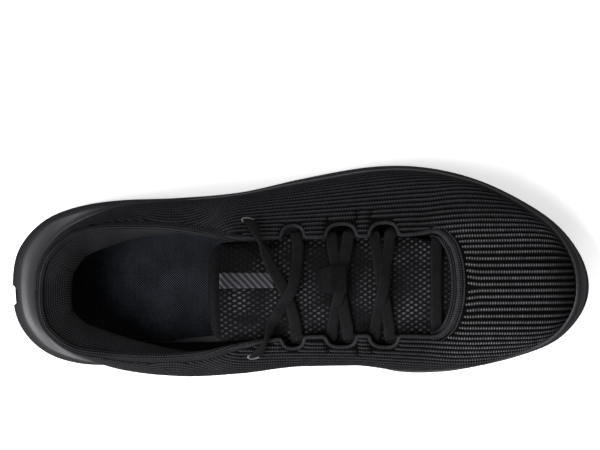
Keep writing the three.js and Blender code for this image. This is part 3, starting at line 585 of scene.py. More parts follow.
# %% Knit, lining and cloth
def knit_ground():
    """Weft-knitted polyester between the ribs: deep black, with stitches 1.2 mm by 0.9 mm."""
    material, shader = new_material("knitted_polyester_ground")
    u, v = thread_axes(material)
    place = node(material, "TexCoord", output="Object")
    loops, courses = thread_wave(material, u, 1.2), thread_wave(material, v, 0.9)
    stitches = node(material, "Math", {0: loops, 1: courses}, operation="MULTIPLY")
    raised = node(material, "Math", {0: stitches, 1: 0.5}, operation="MULTIPLY")
    mottle = node(material, "TexNoise", {"Vector": place, "Scale": 1 / (9 * MM), "Detail": 2}, "Fac")
    shade = node(material, "Math", {0: mottle, 1: 0.5, 2: raised}, operation="MULTIPLY_ADD")
    colour = node(material, "ValToRGB", {"Fac": shade}, "Color", [(0.15, "#030303"), (0.8, "#0d0d0e")])
    return lay_finish(material, shader, colour, stitches, 0.7, 0.35, roughness=0.95, specular=0.05)


def knit_rib():
    """The raised ribs: twisted yarn, one stitch every 1.4 mm, with a painted highlight on each rib's crown
    and painted sheen specks on the stitch tops over the open-worked vamp.
    """
    material, shader = new_material("knitted_polyester_rib")
    u, _ = thread_axes(material)
    place = node(material, "TexCoord", output="Object")
    sheen_speckle = node(material, "Attribute", output="Fac", attribute_name="sheen_speckle")
    crown = node(material, "Attribute", output="Fac", attribute_name="crown")
    stitch = thread_wave(material, u, 1.4)
    raised = node(material, "Math", {0: stitch, 1: 0.2}, operation="MULTIPLY")
    mottle = node(material, "TexNoise", {"Vector": place, "Scale": 1 / (5 * MM), "Detail": 2}, "Fac")
    shade = node(material, "Math", {0: mottle, 1: 0.3, 2: raised}, operation="MULTIPLY_ADD")
    # Painted highlight: the crown of each rib is made lighter and its flanks darker, as the light from above
    # falls on them.
    shade = node(material, "Math", {0: crown, 1: 0.6, 2: shade}, operation="MULTIPLY_ADD")
    yarn = node(material, "ValToRGB", {"Fac": shade}, "Color", [(0.2, "#060607"), (0.9, "#333336")])
    # Painted sheen: pale specks on the top of each stitch, on the rib's crown, in patches over the
    # open-worked vamp.
    peak = node(material, "Math", {0: stitch, 1: 4.0}, operation="POWER")
    lit = node(material, "Math", {0: peak, 1: sheen_speckle}, operation="MULTIPLY")
    lit = node(material, "Math", {0: lit, 1: crown}, operation="MULTIPLY")
    cloud = node(material, "TexNoise", {"Vector": place, "Scale": 1 / (3.5 * MM), "Detail": 2}, "Fac")
    patches = node(material, "Math", {0: cloud, 1: 1.6, 2: -0.25}, operation="MULTIPLY_ADD")
    pale = node(material, "Math", {0: lit, 1: patches}, operation="MULTIPLY")
    colour = node(material, "Mix", {0: pale, 6: yarn, 7: linear("#a0a0a4")}, 2, data_type="RGBA")
    return lay_finish(material, shader, colour, stitch, 0.8, 0.3, roughness=0.9, specular=0.08)


def fine_knit():
    """Smooth fine-gauge knit of the collar band and the lining: ribs 1.4 mm apart."""
    material, shader = new_material("fine_gauge_knit")
    u, v = thread_axes(material)
    place = node(material, "TexCoord", output="Object")
    ribs = thread_wave(material, v, 1.4)
    slant = node(material, "Math", {0: v, 1: 0.5, 2: u}, operation="MULTIPLY_ADD")
    stitches = thread_wave(material, slant, 1.25)
    both = node(material, "Math", {0: ribs, 1: stitches}, operation="MULTIPLY")
    raised = node(material, "Math", {0: both, 1: 0.8}, operation="MULTIPLY")
    cloud = node(material, "TexNoise", {"Vector": place, "Scale": 1 / (12 * MM), "Detail": 2}, "Fac")
    shade = node(material, "Math", {0: cloud, 1: 0.3, 2: raised}, operation="MULTIPLY_ADD")
    colour = node(material, "ValToRGB", {"Fac": shade}, "Color", [(0.15, "#060607"), (0.8, "#38383b")])
    return lay_finish(material, shader, colour, both, 0.7, 0.3, roughness=0.92, specular=0.08)


def insole_cloth():
    """Blue-grey twill over foam: fine diagonals 1.25 mm apart with pale crossings."""
    material, shader = new_material("woven_twill_insole_cloth")
    u, v = thread_axes(material)
    place = node(material, "TexCoord", output="Object")
    rising = node(material, "Math", {0: u, 1: v}, operation="ADD")
    falling = node(material, "Math", {0: u, 1: v}, operation="SUBTRACT")
    one, two = thread_wave(material, rising, 1.25), thread_wave(material, falling, 1.25)
    weave = node(material, "Math", {0: one, 1: two}, operation="MULTIPLY")
    raised = node(material, "Math", {0: weave, 1: 0.7}, operation="MULTIPLY")
    cloud = node(material, "TexNoise", {"Vector": place, "Scale": 1 / (16 * MM), "Detail": 2}, "Fac")
    shade = node(material, "Math", {0: cloud, 1: 0.4, 2: raised}, operation="MULTIPLY_ADD")
    blues = [(0.15, "#090a0c"), (0.5, "#191b20"), (0.95, "#4e545f")]
    colour = node(material, "ValToRGB", {"Fac": shade}, "Color", blues)
    return lay_finish(material, shader, colour, weave, 0.6, 0.25, roughness=0.95, specular=0.08)


# %% Foam and rubber
def foam_skin(name, dark, light, roughness):
    """Compression-moulded foam: a closed satin skin with a very fine orange-peel and cloudy shade."""
    material, shader = new_material(name)
    place = node(material, "TexCoord", output="Object")
    cloud = node(material, "TexNoise", {"Vector": place, "Scale": 1 / (30 * MM), "Detail": 3}, "Fac")
    grain = node(material, "TexNoise", {"Vector": place, "Scale": 1 / (0.9 * MM), "Detail": 2}, "Fac")
    colour = node(material, "ValToRGB", {"Fac": cloud}, "Color", [(0.25, dark), (0.75, light)])
    return lay_finish(material, shader, colour, grain, 0.25, 0.12, roughness, specular=0.42)


def outsole_rubber():
    """Carbon-black rubber, pressed in a sand-blasted mould: dull, with a fine even grain."""
    material, shader = new_material("pressed_carbon_rubber")
    place = node(material, "TexCoord", output="Object")
    cloud = node(material, "TexNoise", {"Vector": place, "Scale": 1 / (14 * MM), "Detail": 3}, "Fac")
    grain = node(material, "TexNoise", {"Vector": place, "Scale": 1 / (0.7 * MM), "Detail": 2}, "Fac")
    colour = node(material, "ValToRGB", {"Fac": cloud}, "Color", [(0.2, "#0d0d0d"), (0.8, "#1b1b1b")])
    return lay_finish(material, shader, colour, grain, 0.4, 0.15, roughness=0.62, specular=0.25)


# %% Lace, tongue mesh, label and small parts
def lace_weave(name="flat_woven_polyester", dark="#050506", light="#19191b"):
    """Flat tubular weave: ribs across it every 1.3 mm and a rounded selvedge."""
    material, shader = new_material(name)
    u, v = thread_axes(material)
    place = node(material, "TexCoord", output="Object")
    from_middle = node(material, "Math", {0: v}, operation="ABSOLUTE")
    slant = node(material, "Math", {0: u, 1: from_middle}, operation="ADD")
    across, chevron = thread_wave(material, u, 1.3), thread_wave(material, slant, 1.3)
    level = node(material, "Math", {0: across, 1: 0.4}, operation="MULTIPLY")
    weave = node(material, "Math", {0: chevron, 1: 0.6, 2: level}, operation="MULTIPLY_ADD")
    raised = node(material, "Math", {0: weave, 1: 0.6}, operation="MULTIPLY")
    cloud = node(material, "TexNoise", {"Vector": place, "Scale": 1 / (4 * MM), "Detail": 2}, "Fac")
    shade = node(material, "Math", {0: cloud, 1: 0.4, 2: raised}, operation="MULTIPLY_ADD")
    colour = node(material, "ValToRGB", {"Fac": shade}, "Color", [(0.2, dark), (0.85, light)])
    return lay_finish(material, shader, colour, weave, 0.7, 0.3, roughness=0.75, specular=0.1)


def tongue_mesh():
    """Open diamond mesh of the tongue's face: dark cords round paler oval windows."""
    material, shader = new_material("diamond_spacer_mesh")
    place = node(material, "TexCoord", output="Object")
    window = node(material, "Attribute", output="Fac", attribute_name="window")
    fibre = node(material, "TexNoise", {"Vector": place, "Scale": 1 / (1.1 * MM), "Detail": 3}, "Fac")
    cloud = node(material, "TexNoise", {"Vector": place, "Scale": 1 / (17 * MM), "Detail": 2}, "Fac")
    cords = node(material, "ValToRGB", {"Fac": fibre}, "Color", [(0.2, "#050506"), (0.8, "#131315")])
    pale = node(material, "ValToRGB", {"Fac": cloud}, "Color", [(0.42, "#131315"), (0.74, "#55565a")])
    colour = node(material, "Mix", {0: window, 6: cords, 7: pale}, 2, data_type="RGBA")
    return lay_finish(material, shader, colour, fibre, 0.4, 0.2, roughness=0.88, specular=0.08)


def label_satin():
    """Woven satin label: generic stripes of paler and darker thread."""
    material, shader = new_material("woven_satin_label")
    u, v = thread_axes(material)
    shift = node(material, "Math", {0: v, 1: 0.8}, operation="MULTIPLY")
    slant = node(material, "Math", {0: u, 1: shift}, operation="ADD")
    band = thread_wave(material, slant, 3.2)
    stripes = node(material, "Math", {0: band, 1: 0.62}, operation="GREATER_THAN")
    thread = thread_wave(material, v, 0.7)
    raised = node(material, "Math", {0: thread, 1: 0.3}, operation="MULTIPLY")
    shade = node(material, "Math", {0: stripes, 1: 0.6, 2: raised}, operation="MULTIPLY_ADD")
    colour = node(material, "ValToRGB", {"Fac": shade}, "Color", [(0.05, "#18181b"), (0.9, "#525358")])
    return lay_finish(material, shader, colour, thread, 0.4, 0.15, roughness=0.6, specular=0.15)


def tip_film():
    """Acetate film shrunk over the end of the lace: smooth, with a clear skin."""
    material, shader = new_material("acetate_lace_tip")
    place = node(material, "TexCoord", output="Object")
    cloud = node(material, "TexNoise", {"Vector": place, "Scale": 1 / (3 * MM), "Detail": 2}, "Fac")
    colour = node(material, "ValToRGB", {"Fac": cloud}, "Color", [(0.3, "#101010"), (0.7, "#1c1c1d")])
    link(material, colour, shader, "Base Color")
    shader.inputs["Roughness"].default_value = 0.28
    shader.inputs["Coat Weight"].default_value = 0.3
    return material


def pale_board():
    """Non-woven board, hidden under the insole: short pale fibres pressed flat."""
    material, shader = new_material("non_woven_board")
    place = node(material, "TexCoord", output="Object")
    fibres = node(material, "TexNoise", {"Vector": place, "Scale": 1 / (1.5 * MM), "Detail": 4}, "Fac")
    grain = node(material, "TexNoise", {"Vector": place, "Scale": 1 / (0.8 * MM), "Detail": 2}, "Fac")
    colour = node(material, "ValToRGB", {"Fac": fibres}, "Color", [(0.3, "#4a4b4e"), (0.7, "#66686b")])
    return lay_finish(material, shader, colour, grain, 0.4, 0.2, roughness=0.95)


# %% All the finishes
GROUND, RIB, FINE = knit_ground(), knit_rib(), fine_knit()
CLOTH = insole_cloth()
FOAM = foam_skin("moulded_foam_skin", "#29292b", "#333336", 0.42)
PALE_FOAM = foam_skin("cut_insole_foam", "#8e9095", "#a6a8ac", 0.8)
RUBBER, LACE, MESH = outsole_rubber(), lace_weave(), tongue_mesh()
LABEL, TIP, BOARD = label_satin(), tip_film(), pale_board()
BINDING = lace_weave("knitted_throat_binding", "#0f0f10", "#353538")
THREAD = lace_weave("grey_whipping_thread", "#4a4a4c", "#8a8a8c")
for name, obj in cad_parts.items():
    obj.data.materials.clear()
    obj.data.materials.append(BOARD if name in ("strobel_board", "heel_counter", "toe_puff") else RUBBER)
print("materials:", len(bpy.data.materials))


# %% [markdown]
# ## The knitted upper
# The shell is one seamless piece of knit. Its throat edge is scalloped where the lace dives under the tabs,
# so the top row of the grid is let down there. Inside and outside faces are both made, and the wall is
# closed along its edges.

# %% The scalloped topline
HOLES = [(-9.4, 2.2), (13, 28.6), (35, 50)]
SCALLOP_DEPTH = 7.5
KNIT = 1.6


def scallop(q):
    """How far the edge is let down at q, in millimetres."""
    x = topline_x(q)
    on_throat = (station(q) > COLLAR_END) & (station(q) < 0.73)
    depth = np.zeros_like(x)
    for a, b in HOLES:
        t = (x - (a + b) / 2) / ((b - a) / 2)
        depth = np.maximum(depth, SCALLOP_DEPTH * np.clip(1 - np.abs(t) ** 2.6, 0, 1) ** 0.45)
    return np.where(on_throat, depth, 0)


def wall_run(q):
    """Millimetres of wall for each unit of v, just below the topline."""
    return np.linalg.norm(upper(q, np.ones_like(q)) - upper(q, np.full_like(q, 0.95)), axis=-1) / 0.05


def top_v(q):
    """v of the upper's real edge."""
    return 1 - scallop(q) / wall_run(q)


def edge_stations(spacing):
    """Stations round the shoe, close together where the scallops turn."""
    fine = np.linspace(0, 2, 6001)
    line = upper(fine, top_v(fine))
    length = np.concatenate([[0], np.cumsum(np.linalg.norm(np.diff(line, axis=0), axis=-1))])
    count = int(length[-1] / spacing)
    return np.interp(np.linspace(0, length[-1], count, endpoint=False), length, fine)


def make_knit_shell():
    q = edge_stations(1.1)
    n_v = 44
    t = np.linspace(0, 1, n_v)
    qq, tt = np.meshgrid(q, t, indexing="ij")
    vv = tt * top_v(q)[:, None]
    # The last two millimetres of the wall turn inwards, as a folded edge does.
    outer = off_upper(qq, vv, -0.5 * np.clip((tt - 0.985) / 0.015, 0, 1))
    inner = off_upper(qq, vv, -KNIT + 0.3 * np.clip((tt - 0.985) / 0.015, 0, 1))
    uv = np.stack([lengths_along(outer, 0), lengths_along(outer, 1)], -1)
    obj = closed_sheet("knit_shell", outer, inner, GROUND, uv, closed_rows=True)
    finish_piece(obj, "shoe", "upper_knit", slot="knit")
    return obj


make_knit_shell()

# %% [markdown]
# ### The ribs
# The knit stands up in ribs about 3 mm apart. They follow lines of equal distance from the ridge of
# the foot, so they run lengthwise over the toes, slope down the sides and lie level round the heel. Each rib
# is real: the lines are traced over the wall and a low rounded bar of yarn is swept along each one.

# %% Lines of equal distance
RIB_PITCH = 3.15
COLLAR_BAND = 3.4  # plain knit along the collar
THROAT_BAND = 1.6  # and along the throat
TOE_BAND = 4.4  # and round its toe end


def rib_field(q, p):
    """Distance from the ridge of the foot over the surface, in millimetres."""
    s = station(q)
    dy = np.abs(p[..., 1] - FOOT_AXIS)
    x = p[..., 0]
    behind = 113 + 12 * (1 - np.exp(-np.clip(-50 - x, 0, 200) / 20))
    ridge = np.where(x < -50, behind, ridge_z(np.clip(x, -50, 95)))
    toe = np.clip(x - 95, 0, 60)
    ridge = ridge - 0.25 * toe - 0.004 * toe**2
    dz = np.maximum(ridge - p[..., 2], 0)
    k = 1.3
    front = (dy**k + dz**k + 1e-6) ** (1 / k)
    front = mix(front, dy + RIB_PITCH / 2, smoothstep((x - 78) / 14) * smoothstep((24 - dy) / 16))
    heel = lengths_along(p[:, ::-1], 1)[:, ::-1] + 46
    return mix(heel, front, smoothstep((s - 0.17) / 0.2))


def trace_lines(q, v, field, mask):
    """Follows the lines where the field is a whole number of pitches over a grid. Returns lists of (q, v)."""
    level = field / RIB_PITCH
    whole = np.floor(level)
    ends = {}

    def crossings(i, j, i2, j2):
        a, b = level[i, j], level[i2, j2]
        fa, fb = whole[i, j], whole[i2, j2]
        if fa == fb or abs(fa - fb) > 1:
            return None
        target = max(fa, fb)
        t = (target - a) / (b - a)
        return target, (q[i] + t * (q[i2] - q[i]), v[i, j] + t * (v[i2, j2] - v[i, j]))

    edges = {}
    for i, j in np.argwhere(mask[:-1, :-1] & mask[1:, :-1] & mask[:-1, 1:] & mask[1:, 1:]):
        quad = whole[i : i + 2, j : j + 2]
        if quad.min() == quad.max():
            continue
        a, b, c, d = (i, j), (i + 1, j), (i + 1, j + 1), (i, j + 1)
        sides = [(a, b), (b, c), (d, c), (a, d)]
        found = []
        for side in sides:
            if side not in edges:
                edges[side] = crossings(*side[0], *side[1])
            if edges[side]:
                found.append((side, edges[side][0]))
        for target in {f[1] for f in found}:
            pair = [f[0] for f in found if f[1] == target]
            if len(pair) == 2:
                for one, other in (pair, pair[::-1]):
                    ends.setdefault((one, target), []).append((other, target))
    lines, seen = [], set()
    starts = [k for k, n in ends.items() if len(n) == 1] + list(ends)
    for start in starts:
        if start in seen:
            continue
        line, here = [start], start
        seen.add(start)
        while True:
            onward = [n for n in ends[here] if n not in seen]
            if not onward:
                break
            here = onward[0]
            seen.add(here)
            line.append(here)
        if len(line) > 6:
            lines.append(np.array([edges[side][1] for side, _ in line]))
    return lines


# %% Sweep the ribs
RIB_PROFILE = [(-1.1, -0.25), (-0.95, 0.35), (-0.5, 0.76), (0, 0.92), (0.5, 0.76), (0.95, 0.35), (1.1, -0.25)]


def make_ribs():
    rows, columns = 1100, 90
    q = np.linspace(0, 2, rows)
    t = np.linspace(0.0, 1, columns)
    edge = top_v(q)
    vv = t[None, :] * edge[:, None]
    qq = np.repeat(q[:, None], columns, 1)
    p = upper(qq, vv)
    below = lengths_along(p[:, ::-1], 1)[:, ::-1]
    s = station(qq)
    band = mix(COLLAR_BAND, THROAT_BAND, smoothstep((s - 0.4) / 0.05))
    band = mix(band, TOE_BAND, smoothstep((s - 0.72) / 0.06))
    mask = (below > band) & (p[..., 2] > rim_z(qq) - 2.0)
    lines = trace_lines(q, vv, rib_field(qq, p), mask)
    points, faces, uv, sheen_speckle, crown = [], [], [], [], []
    n = len(RIB_PROFILE)
    for line in lines:
        path = upper(line[:, 0], line[:, 1])
        run = np.concatenate([[0], np.cumsum(np.linalg.norm(np.diff(path, axis=0), axis=-1))])
        if run[-1] < 3.4:
            continue
        count = max(4, int(run[-1] / 2.1))
        at = np.linspace(0, run[-1], count)
        lq, lv = np.interp(at, run, line[:, 0]), np.interp(at, run, line[:, 1])
        for _ in range(2):
            lv[1:-1] = (lv[:-2] + 2 * lv[1:-1] + lv[2:]) / 4
        path, normal = upper(lq, lv), upper_normal(lq, lv)
        tangent = np.gradient(path, axis=0)
        tangent /= np.linalg.norm(tangent, axis=-1, keepdims=True)
        side = np.cross(normal, tangent)
        taper = np.clip(np.minimum(at, run[-1] - at) / 1.6, 0.3, 1) ** 0.5
        base = sum(len(x) for x in points) if points else 0
        ring = []
        for a, b in RIB_PROFILE:
            ring.append(path + side * (a * taper[:, None]) + normal * (b * taper[:, None]))
        ring = np.stack(ring, 1)
        points.append(ring.reshape(-1, 3))
        faces += grid_faces(count, n, closed_columns=True, start=base)
        faces += [list(range(base, base + n)), list(range(base + (count - 1) * n, base + count * n))[::-1]]
        sideways = np.repeat(np.array([[a for a, _ in RIB_PROFILE]]), count, 0)
        uv.append(np.stack([np.repeat(at[:, None], n, 1), sideways], -1).reshape(-1, 2))
        x, y = ring[..., 0], ring[..., 1]
        # Painted sheen: the pale specks on the stitch tops are laid over the open-worked vamp only.
        vamp_sheen_area = smoothstep((x - 62) / 22) * smoothstep((138 - x) / 14)
        vamp_sheen_area = vamp_sheen_area * smoothstep((44 - np.abs(y - FOOT_AXIS + 2)) / 16)
        sheen_speckle.append(vamp_sheen_area.ravel())
        # Painted highlight weight for each profile point: 1 on the rib's top, 0 on its flanks.
        crown.append(np.tile([0, 0.05, 0.35, 1, 0.35, 0.05, 0], count))
    obj = new_object("knit_ribs", np.concatenate(points), faces, RIB, np.concatenate(uv))
    for key, values in (("sheen_speckle", sheen_speckle), ("crown", crown)):
        layer = obj.data.attributes.new(key, "FLOAT", "POINT")
        layer.data.foreach_set("value", np.concatenate(values))
    fix_normals(obj)
    finish_piece(obj, "shoe", slot="knit")
    print("ribs:", len(lines))
    return obj


# %% [markdown]
# ## The foam midsole
# The midsole is one moulding: a flat underside, a side that flares out to a widest line, a soft ledge above
# it and a thin lip that holds the upper. It is lofted through rings. A split up the back of the heel lets
# the two halves of the heel move apart, and along the forefoot the side line rises and falls in waves.

# %% Midsole
rim_z = around([
    (0, 41, 41), (0.156, 39.5, 39.5), (0.3, 35, 36), (0.434, 32, 34), (0.566, 28.5, 30),
    (0.662, 27.5, 27.5), (0.777, 28.5, 28), (0.87, 31, 31), (1, 34.5, 34.5),
])  # fmt: skip
ledge_drop = around([(0, 4.6, 4.6), (0.223, 4, 4), (0.434, 3, 3), (0.715, 3, 2.6), (1, 3.4, 3.4)])
ledge_inset = around([
    (0, 6, 6), (0.156, 4.6, 5), (0.285, 2.4, 1), (0.434, 0.6, -1.8), (0.52, 0.8, -1.4),
    (0.613, 1.4, 0.6), (0.777, 1.4, 1.2), (1, 1.8, 1.8),
])  # fmt: skip
WIDEST = 11
CUP_GAP = 0.6
RIM_WALL = 2.2
HEEL_END = -150
GROOVE_RADIUS = 5.2  # the round groove that splits the heel
GROOVE_DEPTH = 4.7
GROOVE_Y = -13.6
GROOVE_SPAN = (-3, 31)  # from under the foam to below its ledge


def foam_bottom(x):
    return ground_z(x) + 3.0


def side_wave(q):
    s = station(q)
    fade = smoothstep((s - 0.47) / 0.06) * smoothstep((0.86 - s) / 0.06)
    return fade * np.sin(2 * np.pi * (s - 0.47) / 0.052)


def beside(q, inset):
    return outline(q) - plan_normal(outline, q) * np.broadcast_to(inset, q.shape)[..., None]


def with_z(xy, z):
    return np.concatenate([xy, np.broadcast_to(z, xy.shape[:-1])[..., None]], -1)


def spine_ring(q, loop_xy, share, height):
    x = mix(-150 * np.cos(np.pi * station(q)) * 0.82, loop_xy[..., 0], share)
    y = mix(FOOT_AXIS, loop_xy[..., 1], share)
    return np.stack([x, y, height(x)], -1)


def make_midsole():
    count = 560
    q = np.arange(count) * 2 / count
    bottom = foam_bottom(outline(q)[:, 0])
    rim_v = height_to_v(q, rim_z(q))
    ledge = rim_z(q) - ledge_drop(q)
    forward = smoothstep((station(q) - 0.47) / 0.06) * smoothstep((0.88 - station(q)) / 0.06)
    w = (side_wave(q) + 1) * 0.5 * forward
    edge = beside(q, 4.5)
    widest = bottom + WIDEST
    heelward = smoothstep((0.3 - station(q)) / 0.25)
    rings = [spine_ring(q, edge, share, foam_bottom) for share in (0, 0.3, 0.6, 0.85, 0.97)]
    rings += [
        with_z(beside(q, 4.5 - 0.3), bottom + 0.15),
        with_z(beside(q, 3.0), bottom + 1.2),
        with_z(beside(q, 1.6), bottom + 0.3 * WIDEST),
        with_z(beside(q, 0.6), bottom + 0.55 * WIDEST),
        with_z(beside(q, 0.12), bottom + 0.8 * WIDEST),
        with_z(beside(q, 0.0), widest),
        with_z(beside(q, mix(0.15, 0.5, heelward) + 0.1 * ledge_inset(q)), mix(widest, ledge, 0.3)),
        with_z(beside(q, 0.35 * ledge_inset(q) + 0.5 * w), mix(widest, ledge, 0.62) + 0.5 * w),
        with_z(beside(q, 0.8 * ledge_inset(q) + 1.3 * w), mix(widest, ledge, 0.95) + 1.4 * w),
        with_z(beside(q, 0.95 * ledge_inset(q) + 0.3 + 1.5 * w), ledge + 1.5 * w),
    ]
    lip = off_upper(q, rim_v, CUP_GAP + RIM_WALL)
    outer_lip = with_z(lip[:, :2], rim_z(q) - 0.9)
    inner = rings[-1]
    for share, sag in ((0.1, 0.1), (0.35, 0.45), (0.7, 0.6)):
        ring = mix(inner, outer_lip, share)
        ring[:, 2] -= sag * (0.3 + 0.7 * heelward) * 1.6
        rings.append(ring)
    rings.append(outer_lip)
    rings.append(with_z(off_upper(q, rim_v, CUP_GAP + 0.7 * RIM_WALL)[:, :2], rim_z(q) - 0.15))
    rings.append(with_z(off_upper(q, rim_v, CUP_GAP + 0.3 * RIM_WALL)[:, :2], rim_z(q) - 0.1))
    rings.append(off_upper(q, rim_v, CUP_GAP) - np.array([0, 0, 0.5]))
    for share in (0.75, 0.5, 0.25, 0.1):
        rings.append(off_upper(q, share * rim_v, CUP_GAP))
    foot = off_upper(q, 0 * q, CUP_GAP)
    rings.append(with_z(foot[:, :2], floor_z(foot[:, 0])))
    for share in (0.9, 0.55, 0.25, 0):
        rings.append(spine_ring(q, feather_xy(q), share, floor_z))
    grid = np.stack(rings, 1)
    faces = grid_faces(count, len(rings), closed_rows=True)
    obj = new_object("foam_midsole", grid, faces, FOAM)
    fix_normals(obj, 0.01)
    # The split heel: a round groove up the back, cut with a cylinder.
    deselect()
    middle = Vector((HEEL_END - GROOVE_RADIUS + GROOVE_DEPTH, GROOVE_Y, sum(GROOVE_SPAN) / 2))
    height = GROOVE_SPAN[1] - GROOVE_SPAN[0]
    bpy.ops.mesh.primitive_cylinder_add(
        vertices=64, radius=GROOVE_RADIUS * MM, depth=height * MM, location=middle * MM
    )
    cutter = bpy.context.object
    apply_modifier(obj, "BOOLEAN", operation="DIFFERENCE", object=cutter, solver="EXACT")
    bpy.data.objects.remove(cutter)
    obj.data.polygons.foreach_set("use_smooth", [True] * len(obj.data.polygons))
    finish_piece(obj, "shoe", "midsole", slot="foam")
    return obj


make_midsole()
make_ribs()

# %% [markdown]
# ## Collar padding and lining
# Round the ankle the knit is backed with soft foam under a fine-gauge lining. It is thickest behind the
# heel, where it fills the hollow over the Achilles tendon, and thins out towards the throat. The pad is one
# closed form: flat against the knit, crowned towards the foot and rolled over at the top.

# %% Collar
foam_share = around([
    (0, 1, 1), (0.1, 0.94, 0.92), (0.2, 0.78, 0.82), (0.3, 0.6, 0.7), (0.4, 0.25, 0.3), (1, 0.2, 0.2)
])  # fmt: skip
COLLAR_FOAM = 14
COUNTER = 1.5


def pad_depth(q, v):
    """Depth of the lining's inner face below the knit's outer face."""
    swell = np.sin(np.pi * np.clip((v - 0.58) / 0.42, 0, 1)) ** 0.8
    stuffing = COUNTER + np.maximum(0, COLLAR_FOAM * foam_share(q) - COUNTER) * swell
    return KNIT + 1.2 + stuffing + 1.0


def make_collar_pad():
    half = 0.428
    q = np.linspace(-half, half, 420)
    t = np.linspace(0, 1, 96)
    qq, tt = np.meshgrid(q, t, indexing="ij")
    bottom = height_to_v(qq, floor_z(upper(qq, 0 * qq)[..., 0]) + 2.1)
    vv = mix(bottom, 0.998, 1 - (1 - tt) ** 1.3)
    fade = smoothstep((half - np.abs(qq)) / 0.05)
    crown = np.sqrt(np.clip(1 - (1 - np.clip((1 - vv) / 0.2, 0, 1)) ** 2, 0, 1))
    near = KNIT + 0.12
    depth = near + 0.9 * crown + (pad_depth(qq, vv) - near - 0.9) * crown * (0.15 + 0.85 * fade)
    inner = off_upper(qq, vv, -np.maximum(depth, near + 0.35))
    outer = off_upper(qq, vv, -near + 0 * qq)
    uv = np.stack([lengths_along(inner, 0), lengths_along(inner[:, ::-1], 1)[:, ::-1]], -1)
    obj = closed_sheet("collar_pad", inner, outer, FINE, uv)
    finish_piece(obj, "shoe", "collar_foam", "heel_lining", "heel_counter", slot="lining")


make_collar_pad()

# %% [markdown]
# ### The collar's band and the throat's edge
# Along the collar the knit is plain and rolls over the pad. Along the throat a narrow knitted cord binds the
# scallops. Both follow the same edge, as a bar of rounded section.


# %% Edge bars
def sweep(name, path, normal, profile, material, closed=False, taper=None):
    """A bar of the given profile (across, up) along a path whose surface normal is known."""
    path = np.asarray(path, float)
    if closed:
        tangent = np.roll(path, -1, 0) - np.roll(path, 1, 0)
    else:
        tangent = np.gradient(path, axis=0)
    tangent /= np.linalg.norm(tangent, axis=-1, keepdims=True)
    side = np.cross(normal, tangent)
    side /= np.linalg.norm(side, axis=-1, keepdims=True)
    up = np.cross(tangent, side)
    profile = np.asarray(profile, float)
    scale = np.ones(len(path)) if taper is None else taper
    section = side[:, None] * profile[None, :, :1] + up[:, None] * profile[None, :, 1:]
    ring = path[:, None] + section * scale[:, None, None]
    run = np.concatenate([[0], np.cumsum(np.linalg.norm(np.diff(path, axis=0), axis=-1))])
    n, rows = len(profile), len(path)
    faces = grid_faces(rows, n, closed_rows=closed, closed_columns=True)
    if not closed:
        faces += [list(range(n)), list(range((rows - 1) * n, rows * n))[::-1]]
    uv = np.stack([np.repeat(run[:, None], n, 1), np.repeat(profile[None, :, 0], rows, 0)], -1)
    return fix_normals(new_object(name, ring, faces, material, uv))


def oval(width, height, steps=12):
    a = np.arange(steps) * 2 * np.pi / steps
    return np.stack([np.cos(a) * width / 2, np.sin(a) * height / 2], -1)


def make_throat_binding():
    fine = edge_stations(0.9)
    q = fine[(station(fine) > 0.415)]
    v = top_v(q)
    path = off_upper(q, v - 0.004, -0.15 * np.ones_like(q))
    for _ in range(3):
        path[1:-1] = (path[:-2] + 2 * path[1:-1] + path[2:]) / 4
    normal = upper_normal(q, v)
    ends = np.minimum(np.arange(len(q)), np.arange(len(q))[::-1]) * 0.9
    toe_end = smoothstep((station(q) - 0.7) / 0.06)
    taper = np.clip(ends / 9, 0.35, 1) * (1 + 0.45 * toe_end)
    obj = sweep("throat_binding", path, normal, oval(1.9, 1.7), BINDING, taper=taper)
    finish_piece(obj, "shoe", slot="knit")
    # Round the toe end the edge is a wide roll that leans on the tongue, with two thin rolls outside it.
    q = q[station(q) > 0.7]
    slope = wall_run(q)
    ends = np.minimum(np.arange(len(q)), np.arange(len(q))[::-1]) * 0.9
    for number, (away, size, high) in enumerate(((-2.1, 3.6, 2.0), (1.5, 1.5, 1.3), (3.2, 1.1, 1.1))):
        path = off_upper(q, 1 - np.maximum(away, 0) / slope, 0.1 + 0 * q)
        normal = upper_normal(q, 1 - max(away, 0) / slope)
        if away < 0:
            inwards = upper(q, np.ones_like(q)) - upper(q, np.full_like(q, 0.95))
            inwards /= np.linalg.norm(inwards, axis=-1, keepdims=True)
            path = path - inwards * away - normal * 0.9
        finish = FINE if away < 0 else BINDING
        taper = np.clip(ends / 12, 0.3, 1)
        obj = sweep(f"throat_roll_{number}", path, normal, oval(size, high, 16), finish, taper=taper)
        finish_piece(obj, "shoe", slot="knit")


